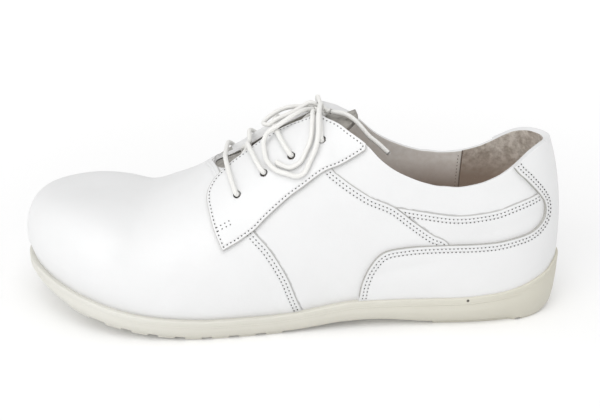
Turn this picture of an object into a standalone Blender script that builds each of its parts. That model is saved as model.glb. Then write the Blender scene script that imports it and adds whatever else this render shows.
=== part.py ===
"""Left leather sneaker: a low lace-up with a round toe, open lacing and a lugged rubber sole.

Metres, +Z up. The toe points to +X and the lateral side of the foot is +Y. The origin lies on the
floor, below the middle of the sole. Tables hold shares of the named sizes, one row for each section.
"""
import math
from functools import lru_cache

import bmesh
import bpy
import numpy as np
from mathutils import Matrix, Vector

# Driving sizes
LENGTH = 0.286          # outsole, from heel to toe
BALL_WIDTH = 0.104      # outsole, across the ball of the foot
INSTEP_HEIGHT = 0.104   # floor to the top corner of the facings
HEEL_HEIGHT = 0.0925    # floor to the back of the collar
SOLE_HEIGHT = 0.030     # floor to the top of the sole, at the back of the heel
WALL = 0.0020           # upper leather with its lining
OVERLAY = 0.0014        # leather of the facings and of the heel counter
GAP = 0.0003            # between pieces that touch
FACET_ROOM = 0.0005     # added below an overlay, because flat facets cut across a curve
SHELF = 0.0030          # top of the sole that stands out past the upper

# Outsole
LIP = 0.0024            # height of the rim that runs round the top edge
GROOVE = 0.0008         # depth and height of the groove below that rim
EDGE_ROUND = 0.0045     # how far the bottom edge is drawn in, at the heel
LUG_DEPTH = 0.0015      # tread lugs and heel pad
LUG_LENGTH = 0.0085
LUG_PITCH = 0.0134
LUG_COUNT = 8
LUG_INSET = 0.0006      # ends of the lugs, in from the bottom edge
LUG_ROOT = 0.0010       # how far the lugs reach up into the sole
LUG_FIRST = 0.535       # middle of the rearmost lug, as a share along the sole
HEEL_PADS = ((0.048, 0.093), (0.101, 0.248))

# Insole and tongue
INSOLE = 0.0030
INSOLE_ROOM = 0.0010    # between the insole's edge and the upper
TONGUE = 0.0028
TONGUE_HALF_WIDTH = 0.0215
TONGUE_WAIST = 0.92     # its ends are this share of its widest
TONGUE_CORNER = 0.10    # its rounded back end, as a share of its length
TONGUE_TIP = 0.65       # width that is left at that end

# Laces and eyelets
LACE = 0.0024           # diameter of the round cord
EYELET = 0.0040         # diameter of the punched holes
KNOT_LENGTH = 0.0095    # across the shoe
KNOT_DEPTH = 0.0070     # along the shoe
KNOT_HEIGHT = 0.0056
KNOT_ALONG = 0.458      # share along the sole

# Where the straight sides end, along the sole
HEEL_CENTRE = 0.143
TOE_CENTRE = 0.832
# Where the throat starts to close, and its front end
THROAT_ROUND = 0.612
THROAT_FRONT = 0.647
# How far the tongue reaches forward under the vamp, and back over the collar
TONGUE_FRONT = 0.685
TONGUE_BACK = 0.403

# Outline of the sole: along in shares of LENGTH, both half widths in shares of BALL_WIDTH
OUTLINE_COLUMNS = ("along", "lateral", "medial")
OUTLINE = (
    (0.012, 0.120, 0.120),
    (0.045, 0.226, 0.226),
    (0.100, 0.303, 0.303),
    (0.170, 0.341, 0.337),
    (0.270, 0.356, 0.332),
    (0.370, 0.373, 0.313),
    (0.470, 0.409, 0.317),
    (0.570, 0.457, 0.365),
    (0.670, 0.495, 0.442),
    (0.750, 0.495, 0.490),
    (0.830, 0.447, 0.500),
    (0.900, 0.351, 0.471),
    (0.955, 0.216, 0.389),
    (0.988, 0.063, 0.284),
)
TOE_TIP = 0.115         # the foremost point lies this far to the medial side, in BALL_WIDTH

# Cross-sections of the last. The ridge is instep x INSTEP_HEIGHT + heel x HEEL_HEIGHT. Behind the
# throat it is only the line that the sides aim at. Round is the exponent of the curve: 2 is an
# ellipse, and more is fuller. Spine and bulge are in shares of BALL_WIDTH.
BULGE_RISE = 0.6        # exponent of the height at which the sides bulge: less is lower
NORMAL_STEP = 0.004     # share between the points that give the way a surface faces
NEAR_TOP = 0.98         # the collar stays this share below the ridge
NEAR_RIDGE = 0.985      # rise of what lies over the middle of the throat
SECTION_COLUMNS = ("along", "spine", "instep", "heel", "round_width", "round_height", "bulge")
SECTIONS = (
    (0.143, 0.000, 0.000, 1.319, 2.00, 2.00, 0.003),
    (0.245, 0.000, 0.400, 0.923, 2.10, 2.10, 0.015),
    (0.350, -0.010, 0.800, 0.399, 2.30, 2.30, 0.021),
    (0.437, -0.019, 1.055, 0.000, 2.45, 2.35, 0.023),
    (0.490, -0.029, 0.984, 0.000, 2.40, 2.30, 0.025),
    (0.542, -0.038, 0.904, 0.000, 2.30, 2.20, 0.027),
    (0.601, -0.048, 0.804, 0.000, 2.15, 2.15, 0.029),
    (0.664, -0.067, 0.710, 0.000, 2.10, 2.20, 0.029),
    (0.717, -0.077, 0.640, 0.000, 2.20, 2.30, 0.029),
    (0.776, -0.086, 0.584, 0.000, 2.60, 2.80, 0.029),
    (0.832, -0.096, 0.584, 0.000, 3.80, 4.20, 0.029),
    (0.900, -0.096, 0.584, 0.000, 5.00, 5.00, 0.029),
    (1.000, -0.096, 0.584, 0.000, 5.50, 5.50, 0.029),
)

# Top edge of the sole, where the upper stands on it, in shares of SOLE_HEIGHT
FEATHER_COLUMNS = ("along", "height")
FEATHER = (
    (0.000, 1.000),
    (0.018, 0.950),
    (0.032, 0.850),
    (0.056, 0.770),
    (0.087, 0.677),
    (0.119, 0.613),
    (0.150, 0.580),
    (0.200, 0.548),
    (0.300, 0.540),
    (0.385, 0.533),
    (0.420, 0.500),
    (0.455, 0.447),
    (0.500, 0.390),
    (0.550, 0.361),
    (0.640, 0.361),
    (0.700, 0.392),
    (0.760, 0.440),
    (0.820, 0.530),
    (0.870, 0.640),
    (0.920, 0.757),
    (0.960, 0.862),
    (1.000, 0.927),
)

# Underside of the sole above its lugs, in shares of SOLE_HEIGHT: heel round, arch and toe spring.
# Round is how far the bottom edge is drawn in, as a share of EDGE_ROUND.
UNDERSIDE_COLUMNS = ("along", "height", "round")
UNDERSIDE = (
    (0.000, 0.290, 0.25),
    (0.010, 0.130, 0.25),
    (0.024, 0.060, 0.25),
    (0.045, 0.015, 0.25),
    (0.070, 0.000, 0.25),
    (0.093, 0.000, 0.25),
    (0.106, 0.000, 0.75),
    (0.250, 0.000, 0.85),
    (0.273, 0.017, 0.80),
    (0.329, 0.073, 0.70),
    (0.374, 0.097, 0.55),
    (0.420, 0.087, 0.42),
    (0.455, 0.050, 0.35),
    (0.507, 0.010, 0.30),
    (0.550, 0.000, 0.30),
    (0.664, 0.000, 0.30),
    (0.700, 0.027, 0.30),
    (0.748, 0.070, 0.30),
    (0.804, 0.147, 0.30),
    (0.871, 0.277, 0.30),
    (0.916, 0.415, 0.30),
    (0.944, 0.505, 0.30),
    (0.969, 0.600, 0.30),
    (1.000, 0.715, 0.30),
)

# Side wall of the sole below its groove: depth as a share of what is left, inset as a share of
# EDGE_ROUND
SIDEWALL_COLUMNS = ("depth", "inset")
SIDEWALL = (
    (0.08, 0.10),
    (0.35, 0.02),
    (0.65, 0.22),
    (0.88, 0.60),
    (1.00, 1.00),
)

# Collar edge, its height as instep x INSTEP_HEIGHT + heel x HEEL_HEIGHT
COLLAR_COLUMNS = ("along", "instep", "heel")
COLLAR = (
    (0.000, 0.000, 1.000),
    (0.028, 0.000, 0.998),
    (0.062, 0.000, 0.977),
    (0.091, 0.000, 0.938),
    (0.115, 0.000, 0.898),
    (0.135, 0.000, 0.868),
    (0.154, 0.000, 0.842),
    (0.184, 0.000, 0.814),
    (0.217, 0.000, 0.803),
    (0.246, 0.000, 0.811),
    (0.275, 0.100, 0.717),
    (0.305, 0.250, 0.582),
    (0.335, 0.450, 0.404),
    (0.355, 0.600, 0.281),
    (0.378, 0.780, 0.147),
    (0.415, 0.971, 0.000),
    (0.445, 1.002, 0.000),
    (0.475, 1.040, 0.000),
)

# Half width of the throat, in shares of the half section's width
THROAT_COLUMNS = ("along", "half_gap")
THROAT = (
    (0.380, 0.440),
    (0.395, 0.450),
    (0.434, 0.435),
    (0.450, 0.365),
    (0.475, 0.304),
    (0.500, 0.266),
    (0.530, 0.246),
    (0.545, 0.247),
    (0.575, 0.270),
    (0.600, 0.300),
    (0.612, 0.318),
)

# Facing, from its front corner to its back corner. Low is its lower edge and high its upper edge,
# each as a share along the sole and a share of the way from the feather line to the ridge.
# Where high_rise is EDGE, the facing ends on the upper's own edge.
EDGE = 1.0
FACING_COLUMNS = ("low_along", "low_rise", "high_along", "high_rise")
FACING = (
    (0.621, 0.320, 0.624, 0.328),
    (0.611, 0.329, 0.638, 0.440),
    (0.598, 0.338, 0.647, 0.560),
    (0.583, 0.351, 0.650, 0.625),
    (0.567, 0.366, 0.648, 0.678),
    (0.552, 0.390, 0.639, 0.735),
    (0.539, 0.408, 0.626, 0.772),
    (0.526, 0.423, 0.606, EDGE),
    (0.508, 0.441, 0.578, EDGE),
    (0.488, 0.455, 0.545, EDGE),
    (0.466, 0.469, 0.512, EDGE),
    (0.446, 0.482, 0.482, EDGE),
    (0.428, 0.493, 0.455, EDGE),
    (0.410, 0.504, 0.425, EDGE),
    (0.393, 0.514, 0.400, EDGE),
    (0.380, 0.522, 0.379, EDGE),
)

# Heel counter. Seam is its front and upper edge, from the sole up to the collar, and back is the
# matching point on the sole's edge, the heel's centre line or the collar.
COUNTER_FOOT = 0.011
COUNTER_COLUMNS = ("seam_along", "seam_rise", "back_along", "back_rise")
COUNTER = (
    (0.386, COUNTER_FOOT, 0.380, COUNTER_FOOT),
    (0.381, 0.045, 0.335, COUNTER_FOOT),
    (0.368, 0.092, 0.288, COUNTER_FOOT),
    (0.346, 0.131, 0.243, COUNTER_FOOT),
    (0.306, 0.146, 0.200, COUNTER_FOOT),
    (0.258, 0.156, 0.158, COUNTER_FOOT),
    (0.208, 0.163, 0.118, COUNTER_FOOT),
    (0.158, 0.169, 0.080, COUNTER_FOOT),
    (0.118, 0.174, 0.042, COUNTER_FOOT),
    (0.086, 0.178, 0.000, COUNTER_FOOT),
    (0.067, 0.196, 0.000, 0.085),
    (0.060, 0.225, 0.000, 0.165),
    (0.062, 0.262, 0.000, 0.245),
    (0.072, 0.302, 0.000, 0.320),
    (0.084, 0.338, 0.000, 0.390),
    (0.097, 0.372, 0.000, EDGE),
    (0.110, 0.400, 0.055, EDGE),
    (0.120, EDGE, 0.100, EDGE),
)

# Eyelets, from the toe back
EYELET_COLUMNS = ("along", "rise")
EYELETS = (
    (0.597, 0.571),
    (0.551, 0.618),
    (0.504, 0.636),
    (0.453, 0.641),
)

# Laces over the throat. Out is the share of the way from the throat's middle to its edge, on a
# strand's own side, or on the other side where it is below 0.
# The bar, from the facing to the middle: how far ahead of its eyelets it runs, in shares of LACE, and
# its height in shares of OVER_EDGE
BAR_COLUMNS = ("ahead", "out", "height")
BAR = (
    (2.00, 1.00, 1.00),
    (2.40, 0.55, 0.80),
)
BAR_CLIMB = 0.10        # rise from its eyelet to where it has turned up the facing
# Crossing strands, from below a facing. Back is the share of the way back to the next eyelet.
CROSSING_COLUMNS = ("back", "out")
CROSSING_START = ((0.00, 0.74), (0.20, 0.36))
CROSSING_OVER = ((0.34, -0.25), (0.50, -1.00))
CROSSING_BELOW = ((0.50, -0.34), (0.80, -0.78))
CROSSING_REST = (0.78, 0.08)    # where it lies on the facing: back, and rise above its eyelet
RISER_TOP = 0.6         # a riser is highest this share of the way from the facing to the knot

# The bow's four free cords, as their centre lines. Each leaves the knot at a port: degrees round it
# from the toe's side, and degrees up. Then come points from the knot's centre, in shares of LACE.
BOW_COLUMNS = ("ahead", "aside", "up")
LOOP_LATERAL_PORTS = ((15, 25), (80, 50))
LOOP_LATERAL = (
    (4.10, 3.60, 1.20),
    (6.60, 5.30, 0.30),
    (9.50, 6.10, -1.50),
    (11.40, 6.30, -2.80),
    (12.20, 7.10, -4.50),
    (12.10, 8.40, -5.90),
    (11.50, 10.70, -7.50),
    (9.70, 12.60, -8.75),
    (7.60, 13.60, -9.20),
    (5.50, 14.20, -9.55),
    (3.90, 14.05, -8.75),
    (2.80, 13.20, -6.60),
    (1.75, 12.50, -4.30),
    (1.20, 11.50, -1.65),
    (1.10, 9.60, 1.15),
    (0.80, 6.60, 2.70),
    (0.40, 4.00, 2.80),
)
LOOP_FRONT_PORTS = ((-35, 20), (-25, 62))
LOOP_FRONT = (
    (4.00, -1.80, 0.60),
    (7.00, -1.60, 0.45),
    (9.10, -1.50, -0.25),
    (11.20, -1.30, -1.60),
    (12.40, -0.20, -2.60),
    (11.20, 1.50, -2.50),
    (9.50, 1.90, -1.15),
    (6.60, 1.40, 0.00),
    (4.20, 0.30, 1.10),
    (2.60, -0.10, 1.90),
)
END_FRONT_PORTS = ((55, 0),)
END_FRONT = (
    (1.90, 3.90, 1.10),
    (2.20, 6.20, 1.40),
    (2.30, 8.40, 0.50),
    (2.60, 10.60, -2.60),
    (3.70, 11.90, -5.20),
    (4.80, 12.80, -6.95),
    (6.70, 13.00, -8.05),
    (8.50, 12.25, -7.85),
    (9.80, 11.45, -7.30),
)
END_BACK_PORTS = ((150, 10),)
END_BACK = (
    (-3.00, 2.20, 0.40),
    (-4.70, 3.00, 0.32),
    (-6.60, 3.75, -0.68),
    (-8.50, 4.35, -2.60),
    (-9.80, 4.80, -4.00),
    (-11.80, 5.40, -5.50),
    (-14.10, 6.00, -7.50),
)

# How far the tongue lies below the outside of the upper, in shares of WALL
TONGUE_DROP_COLUMNS = ("along", "drop")
TONGUE_DROP = (
    (0.403, 4.20),
    (0.450, 3.90),
    (0.520, 3.00),
    (0.600, 2.00),
    (0.640, 1.30),
    (0.660, 1.15),
    (0.685, 1.15),
)

# Mesh fineness
HEEL_FAN = 8
TOE_FAN = 9
UPPER_ROWS = 10
SIDE_STEPS = (7, 4, 4, 6)   # heel to facing, collar corner, throat, vamp
THROAT_STEPS = 4
TONGUE_STEPS = (12, 10)     # along it and across it
OVERLAY_STEPS = 6           # across an overlay
FACING_ROW_STEPS = 1        # steps between two rows of its table
COUNTER_ROW_STEPS = 2
INSOLE_STEPS = 4
EYELET_SIDES = 12
OUTLINE_STEPS = 30
ROUTE_STEPS = 24
KNOT_SIDES = (10, 6)
LACE_BEVEL_STEPS = 1
LACE_STEP = 1.8             # between two points of a lace, in diameters

LATERAL = 1
MEDIAL = -1


def read_column(table, columns, name):
    """One named column of a table as an array."""
    return np.array([row[columns.index(name)] for row in table])


@lru_cache(maxsize=None)
def slopes(table, columns, name):
    """Slopes at the rows, so that the curve through them never overshoots."""
    x = read_column(table, columns, "along")
    y = read_column(table, columns, name)
    steps = np.diff(x)
    rises = np.diff(y) / steps
    result = np.zeros(len(x))
    result[0] = rises[0]
    result[-1] = rises[-1]
    for i in range(1, len(x) - 1):
        before, after = rises[i - 1], rises[i]
        if before * after > 0:
            w1 = 2 * steps[i] + steps[i - 1]
            w2 = steps[i] + 2 * steps[i - 1]
            result[i] = (w1 + w2) / (w1 / before + w2 / after)
    return x, y, result


def lookup(table, columns, name, along):
    """A smooth value between the rows of a table, at a share along the sole."""
    x, y, slope = slopes(table, columns, name)
    along = min(max(along, x[0]), x[-1])
    i = min(max(int(np.searchsorted(x, along)) - 1, 0), len(x) - 2)
    h = x[i + 1] - x[i]
    t = (along - x[i]) / h
    return (
        (2 * t**3 - 3 * t**2 + 1) * y[i]
        + (t**3 - 2 * t**2 + t) * h * slope[i]
        + (3 * t**2 - 2 * t**3) * y[i + 1]
        + (t**3 - t**2) * h * slope[i + 1]
    )


def closed_curve(points, steps):
    """A smooth closed curve through points, with even curvature at each of them."""
    points = np.asarray(points, float)
    count = len(points)
    spans = np.linalg.norm(np.roll(points, -1, 0) - points, axis=1)
    matrix = np.zeros((count, count))
    right = np.zeros((count, 2))
    for i in range(count):
        before, after = spans[i - 1], spans[i]
        following = points[(i + 1) % count]
        matrix[i, i - 1] = after
        matrix[i, i] = 2 * (before + after)
        matrix[i, (i + 1) % count] = before
        ahead = (following - points[i]) / after
        behind = (points[i] - points[i - 1]) / before
        right[i] = 3 * (before * ahead + after * behind)
    tangents = np.linalg.solve(matrix, right)
    t = np.linspace(0, 1, steps, endpoint=False)[:, None]
    pieces = []
    for i in range(count):
        j = (i + 1) % count
        pieces.append(
            (2 * t**3 - 3 * t**2 + 1) * points[i]
            + (t**3 - 2 * t**2 + t) * spans[i] * tangents[i]
            + (3 * t**2 - 2 * t**3) * points[j]
            + (t**3 - t**2) * spans[i] * tangents[j]
        )
    return np.concatenate(pieces)


@lru_cache(maxsize=None)
def outline():
    """The sole seen from above, from x = 0 at the heel, exactly LENGTH long and BALL_WIDTH wide."""
    lateral = [(row[0] * LENGTH, row[1] * BALL_WIDTH) for row in OUTLINE]
    medial = [(row[0] * LENGTH, -row[2] * BALL_WIDTH) for row in reversed(OUTLINE)]
    curve = closed_curve([(0, 0)] + lateral + [(LENGTH, -TOE_TIP * BALL_WIDTH)] + medial, OUTLINE_STEPS)
    low = curve.min(0)
    high = curve.max(0)
    size = np.array([LENGTH, BALL_WIDTH])
    return (curve - low) / (high - low) * size - (0, BALL_WIDTH / 2)


@lru_cache(maxsize=None)
def inner_outline(distance):
    """The sole's outline, drawn in by a distance."""
    curve = outline()
    tangent = np.roll(curve, -1, 0) - np.roll(curve, 1, 0)
    tangent /= np.linalg.norm(tangent, axis=1)[:, None]
    normal = np.stack([-tangent[:, 1], tangent[:, 0]], -1)
    outwards = np.sign(((curve - curve.mean(0)) * normal).sum())
    return curve - normal * outwards * distance


def reach(curve, centre, direction):
    """Distance from a centre to a closed curve."""
    start = curve - centre
    end = np.roll(curve, -1, 0) - centre
    cross_start = start[:, 0] * direction[1] - start[:, 1] * direction[0]
    cross_end = end[:, 0] * direction[1] - end[:, 1] * direction[0]
    hits = np.where((cross_start * cross_end <= 0) & (cross_start != cross_end))[0]
    t = (cross_start[hits] / (cross_start[hits] - cross_end[hits]))[:, None]
    return float(((start[hits] + (end[hits] - start[hits]) * t) @ direction).max())


@lru_cache(maxsize=None)
def section(side, along):
    """One half section of the last: its centre, the way it faces, and its sizes.

    Sections stand across the shoe along its sides, and fan out round the heel and the toe.
    """
    middle = min(max(along, HEEL_CENTRE), TOE_CENTRE)
    angle = math.pi / 2
    if along < HEEL_CENTRE:
        angle += math.pi / 2 * (HEEL_CENTRE - along) / HEEL_CENTRE
    if along > TOE_CENTRE:
        angle -= math.pi / 2 * (along - TOE_CENTRE) / (1 - TOE_CENTRE)
    direction = np.array([math.cos(angle), side * math.sin(angle)])

    def value(name):
        return lookup(SECTIONS, SECTION_COLUMNS, name, middle)

    centre = np.array([middle * LENGTH, value("spine") * BALL_WIDTH])
    width = reach(inner_outline(SHELF), centre, direction)
    foot = (centre + direction * width)[0] / LENGTH
    return {
        "centre": centre,
        "direction": direction,
        "width": width,
        "sole_width": reach(outline(), centre, direction),
        "foot": foot,
        "low": lookup(FEATHER, FEATHER_COLUMNS, "height", foot) * SOLE_HEIGHT,
        "ridge": value("instep") * INSTEP_HEIGHT + value("heel") * HEEL_HEIGHT,
        "round_width": lookup(SECTIONS, SECTION_COLUMNS, "round_width", along),
        "round_height": lookup(SECTIONS, SECTION_COLUMNS, "round_height", along),
        "bulge": value("bulge") * BALL_WIDTH,
    }


def to_world(x, y, z):
    """From distances along the sole to the part's own frame."""
    return Vector((x - LENGTH / 2, y, z))


def last_point(side, along, rise):
    """A point on the outside of the upper. Rise runs from 0 at the sole to 1 at the ridge."""
    half = section(side, along)
    angle = min(max(rise, 0.0), 1.0) * math.pi / 2
    height = math.sin(angle) ** (2 / half["round_height"])
    out = half["width"] * math.cos(angle) ** (2 / half["round_width"])
    out += half["bulge"] * math.sin(math.pi * min(height, 1.0) ** BULGE_RISE)
    x, y = half["centre"] + half["direction"] * out
    return to_world(x, y, half["low"] + (half["ridge"] - half["low"]) * height)


def last_normal(side, along, rise):
    """The way that the upper faces at a point."""
    step = NORMAL_STEP
    across = last_point(side, along, rise + step) - last_point(side, along, rise - step)
    forward = last_point(side, along + step, rise) - last_point(side, along - step, rise)
    return across.cross(forward).normalized() * side


def last_offset(side, along, rise, height):
    """A point that stands off the upper by a height."""
    return last_point(side, along, rise) + last_normal(side, along, rise) * height


def gap_rise(side, along, half_gap):
    """The rise of a point at a distance from the middle of the throat."""
    half = section(side, along)
    share = min(abs(half_gap) / half["width"], 1.0)
    return math.acos(share ** (half["round_width"] / 2)) / (math.pi / 2)


def throat_gap(side, along):
    """Half the width of the throat. It closes in a round front end."""
    if along >= THROAT_FRONT:
        return 0.0
    gap = lookup(THROAT, THROAT_COLUMNS, "half_gap", along) * section(side, along)["width"]
    if along > THROAT_ROUND:
        gap *= math.sqrt(1 - ((along - THROAT_ROUND) / (THROAT_FRONT - THROAT_ROUND)) ** 2)
    return gap


def edge_rise(side, along):
    """The rise of the upper's top edge: the collar, the throat, or the closed ridge."""
    if along >= THROAT_FRONT:
        return 1.0
    half = section(side, along)
    rise = 1.0
    if along > THROAT[0][0]:
        rise = gap_rise(side, along, throat_gap(side, along))
    if along < COLLAR[-1][0]:
        foot = min(max(half["foot"], 0.0), 1.0)
        height = lookup(COLLAR, COLLAR_COLUMNS, "instep", foot) * INSTEP_HEIGHT
        height += lookup(COLLAR, COLLAR_COLUMNS, "heel", foot) * HEEL_HEIGHT
        share = min(max((height - half["low"]) / (half["ridge"] - half["low"]), 0.0), NEAR_TOP)
        rise = min(rise, math.asin(share ** (half["round_height"] / 2)) / (math.pi / 2))
    return rise


def on_edge(side, along, rise):
    """The rise itself, or the upper's own edge where a table says EDGE."""
    if rise == EDGE:
        return edge_rise(side, along)
    return rise


def side_stations():
    """Shares along the sole, from the heel's centre to the toe's, closer where the throat ends."""
    back, corner, throat, vamp = SIDE_STEPS
    turns = np.linspace(0, math.pi / 2, THROAT_STEPS, endpoint=False)
    pieces = [
        np.linspace(HEEL_CENTRE, COLLAR[-4][0], back, endpoint=False),
        np.linspace(COLLAR[-4][0], THROAT[3][0], corner, endpoint=False),
        np.linspace(THROAT[3][0], THROAT_ROUND, throat, endpoint=False),
        THROAT_ROUND + (THROAT_FRONT - THROAT_ROUND) * np.sin(turns),
        np.linspace(THROAT_FRONT, TOE_CENTRE, vamp),
    ]
    return np.concatenate(pieces)


def ring_stations():
    """Every half section, once round the shoe, as pairs of side and share along."""
    sides = list(side_stations())
    heel = list(np.linspace(0, HEEL_CENTRE, HEEL_FAN, endpoint=False))
    toe = list(np.linspace(TOE_CENTRE, 1, TOE_FAN + 1))[1:]
    lateral = [(LATERAL, along) for along in heel + sides + toe]
    medial = [(MEDIAL, along) for along in reversed(heel[1:] + sides + toe[:-1])]
    return lateral + medial


def sheet(rows, closed=False):
    """A surface through rows of points. Points that meet are joined."""
    mesh = bmesh.new()
    grid = [[mesh.verts.new(point) for point in row] for row in rows]
    count = len(grid)
    for i in range(count if closed else count - 1):
        first, second = grid[i], grid[(i + 1) % count]
        for j in range(len(first) - 1):
            mesh.faces.new((first[j], second[j], second[j + 1], first[j + 1]))
    bmesh.ops.remove_doubles(mesh, verts=mesh.verts, dist=0.00002)
    bmesh.ops.recalc_face_normals(mesh, faces=mesh.faces)
    return mesh


def face_outwards(mesh):
    """Turns a surface so that it faces away from the foot."""
    mesh.normal_update()
    total = 0.0
    for face in mesh.faces:
        middle = face.calc_center_median()
        core = min(max(middle.x, (HEEL_CENTRE - 0.5) * LENGTH), (TOE_CENTRE - 0.5) * LENGTH)
        total += face.normal.dot(middle - Vector((core, 0, SOLE_HEIGHT))) * face.calc_area()
    if total < 0:
        bmesh.ops.reverse_faces(mesh, faces=mesh.faces)
    mesh.normal_update()


def thicken(mesh, inner, outer):
    """A closed wall on a surface, between two distances along its normals.

    A distance is a number, or a function of a point.
    """
    def distance(value, point):
        return value(point) if callable(value) else value

    wall = bmesh.new()
    tops = {}
    bottoms = {}
    for vert in mesh.verts:
        tops[vert] = wall.verts.new(vert.co + vert.normal * distance(outer, vert.co))
        bottoms[vert] = wall.verts.new(vert.co + vert.normal * distance(inner, vert.co))
    for face in mesh.faces:
        wall.faces.new([tops[vert] for vert in face.verts])
        wall.faces.new([bottoms[vert] for vert in reversed(face.verts)])
    for edge in mesh.edges:
        if edge.is_boundary:
            a, b = edge.verts
            wall.faces.new((tops[a], tops[b], bottoms[b], bottoms[a]))
    bmesh.ops.recalc_face_normals(wall, faces=wall.faces)
    bmesh.ops.triangulate(wall, faces=wall.faces)
    mesh.free()
    return wall


def material(name, color, roughness):
    """A plain finish in the piece's own colour."""
    finish = bpy.data.materials.new(name)
    finish.use_nodes = True
    shader = finish.node_tree.nodes["Principled BSDF"]
    shader.inputs["Base Color"].default_value = (*color, 1)
    shader.inputs["Roughness"].default_value = roughness
    return finish


def make_object(name, mesh, finish):
    """A named object from a closed mesh, with its faces out."""
    data = bpy.data.meshes.new(name)
    if mesh.calc_volume(signed=True) < 0:
        bmesh.ops.reverse_faces(mesh, faces=mesh.faces)
    mesh.to_mesh(data)
    mesh.free()
    item = bpy.data.objects.new(name, data)
    bpy.context.collection.objects.link(item)
    if finish:
        data.materials.append(finish)
    data.shade_smooth()
    data.set_sharp_from_angle(angle=math.radians(40))
    return item


def boolean(item, tool, operation):
    """Cuts a tool out of an object, or joins it on."""
    change = item.modifiers.new(operation.title(), "BOOLEAN")
    change.operation = operation
    change.object = tool
    tool.hide_render = True
    tool.display_type = "WIRE"


def upper_mesh():
    """The upper as one hollow wall, from its feather line to the collar, throat and ridge."""
    rows = []
    for side, along in ring_stations():
        top = edge_rise(side, along)
        rows.append([last_point(side, along, top * k / UPPER_ROWS) for k in range(UPPER_ROWS + 1)])
    mesh = sheet(rows, closed=True)
    face_outwards(mesh)
    return thicken(mesh, -WALL, 0.0)


def overlay_row(side, row):
    """Points across an overlay, from its first edge to its second."""
    first_along, first_rise, second_along, second_rise = row
    first_rise = on_edge(side, first_along, first_rise)
    second_rise = on_edge(side, second_along, second_rise)
    points = []
    for t in np.linspace(0, 1, OVERLAY_STEPS + 1):
        along = first_along + (second_along - first_along) * t
        points.append(last_point(side, along, first_rise + (second_rise - first_rise) * t))
    return points


def overlay_rows(side, table, row_steps):
    """Rows of points for an overlay, with further rows between those of its table."""
    rows = []
    for before, after in zip(table, table[1:]):
        for k in range(row_steps):
            t = k / row_steps
            row = []
            for a, b in zip(before, after):
                row.append(a if a == b else a + (b - a) * t)
            for index in (1, 3):
                if k and EDGE in (before[index], after[index]) and before[index] != after[index]:
                    low = on_edge(side, before[index - 1], before[index])
                    high = on_edge(side, after[index - 1], after[index])
                    row[index] = low + (high - low) * t
            rows.append(overlay_row(side, row))
    rows.append(overlay_row(side, table[-1]))
    return rows


def overlay(mesh):
    """The leather of an overlay, on a surface that lies on the upper."""
    face_outwards(mesh)
    return thicken(mesh, GAP + FACET_ROOM, GAP + FACET_ROOM + OVERLAY)


def facing_mesh(side):
    """One facing, a panel with a long straight lower edge and a rounded front."""
    return overlay(sheet(overlay_rows(side, FACING, FACING_ROW_STEPS)))


def counter_mesh():
    """The heel counter, which wraps round the heel and climbs to the collar at the back."""
    mesh = sheet(overlay_rows(LATERAL, COUNTER, COUNTER_ROW_STEPS))
    other = sheet(overlay_rows(MEDIAL, COUNTER, COUNTER_ROW_STEPS))
    data = bpy.data.meshes.new("counter half")
    other.to_mesh(data)
    other.free()
    mesh.from_mesh(data)
    bpy.data.meshes.remove(data)
    bmesh.ops.remove_doubles(mesh, verts=mesh.verts, dist=0.00002)
    bmesh.ops.recalc_face_normals(mesh, faces=mesh.faces)
    return overlay(mesh)


def tongue_mesh():
    """The tongue: a curved strip below the throat, fastened under the vamp at its front."""
    rows = []
    for along in np.linspace(TONGUE_FRONT, TONGUE_BACK, TONGUE_STEPS[0] + 1):
        back = (TONGUE_FRONT - along) / (TONGUE_FRONT - TONGUE_BACK)
        half_width = TONGUE_HALF_WIDTH * (TONGUE_WAIST + (1 - TONGUE_WAIST) * math.sin(math.pi * back))
        corner = max(0.0, 1 - (1 - back) / TONGUE_CORNER)
        half_width *= 1 - (1 - TONGUE_TIP) * corner**2
        row = []
        for share in np.linspace(-1, 1, TONGUE_STEPS[1] + 1):
            side = MEDIAL if share < 0 else LATERAL
            row.append(last_point(side, along, gap_rise(side, along, share * half_width)))
        rows.append(row)
    mesh = sheet(rows)
    face_outwards(mesh)

    def top(point):
        along = point.x / LENGTH + 0.5
        return -lookup(TONGUE_DROP, TONGUE_DROP_COLUMNS, "drop", along) * WALL

    def bottom(point):
        return top(point) - TONGUE

    return thicken(mesh, bottom, top)


def sole_height(along):
    """Top of the sole, just below the upper."""
    return lookup(FEATHER, FEATHER_COLUMNS, "height", along) * SOLE_HEIGHT - GAP


def sole_underside(along):
    """Underside of the sole, where it has no lug."""
    return LUG_DEPTH + lookup(UNDERSIDE, UNDERSIDE_COLUMNS, "height", along) * SOLE_HEIGHT


def edge_round(side, along):
    """How far the bottom edge of the sole is drawn in at a half section."""
    return lookup(UNDERSIDE, UNDERSIDE_COLUMNS, "round", section(side, along)["foot"]) * EDGE_ROUND


def sole_point(side, along, inset, height_at):
    """A point on a half section of the sole, drawn in from its outline."""
    half = section(side, along)
    x, y = half["centre"] + half["direction"] * (half["sole_width"] - inset)
    return to_world(x, y, height_at(min(max(x / LENGTH, 0.0), 1.0)))


def sole_rings():
    """The sole's edge from top to bottom: an inset, a share of the edge's round, and a height."""
    def below(distance):
        return lambda along: sole_height(along) - distance

    def wall(depth):
        def height(along):
            top = sole_height(along) - LIP - GROOVE
            return top + (sole_underside(along) - top) * depth
        return height

    rings = [
        (LIP / 3, 0.0, below(0)),
        (0.0, 0.0, below(LIP / 3)),
        (0.0, 0.0, below(LIP)),
        (GROOVE, 0.0, below(LIP + GROOVE / 2)),
    ]
    for depth, inset in SIDEWALL:
        rings.append((0.0, inset, wall(depth)))
    return rings


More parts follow.
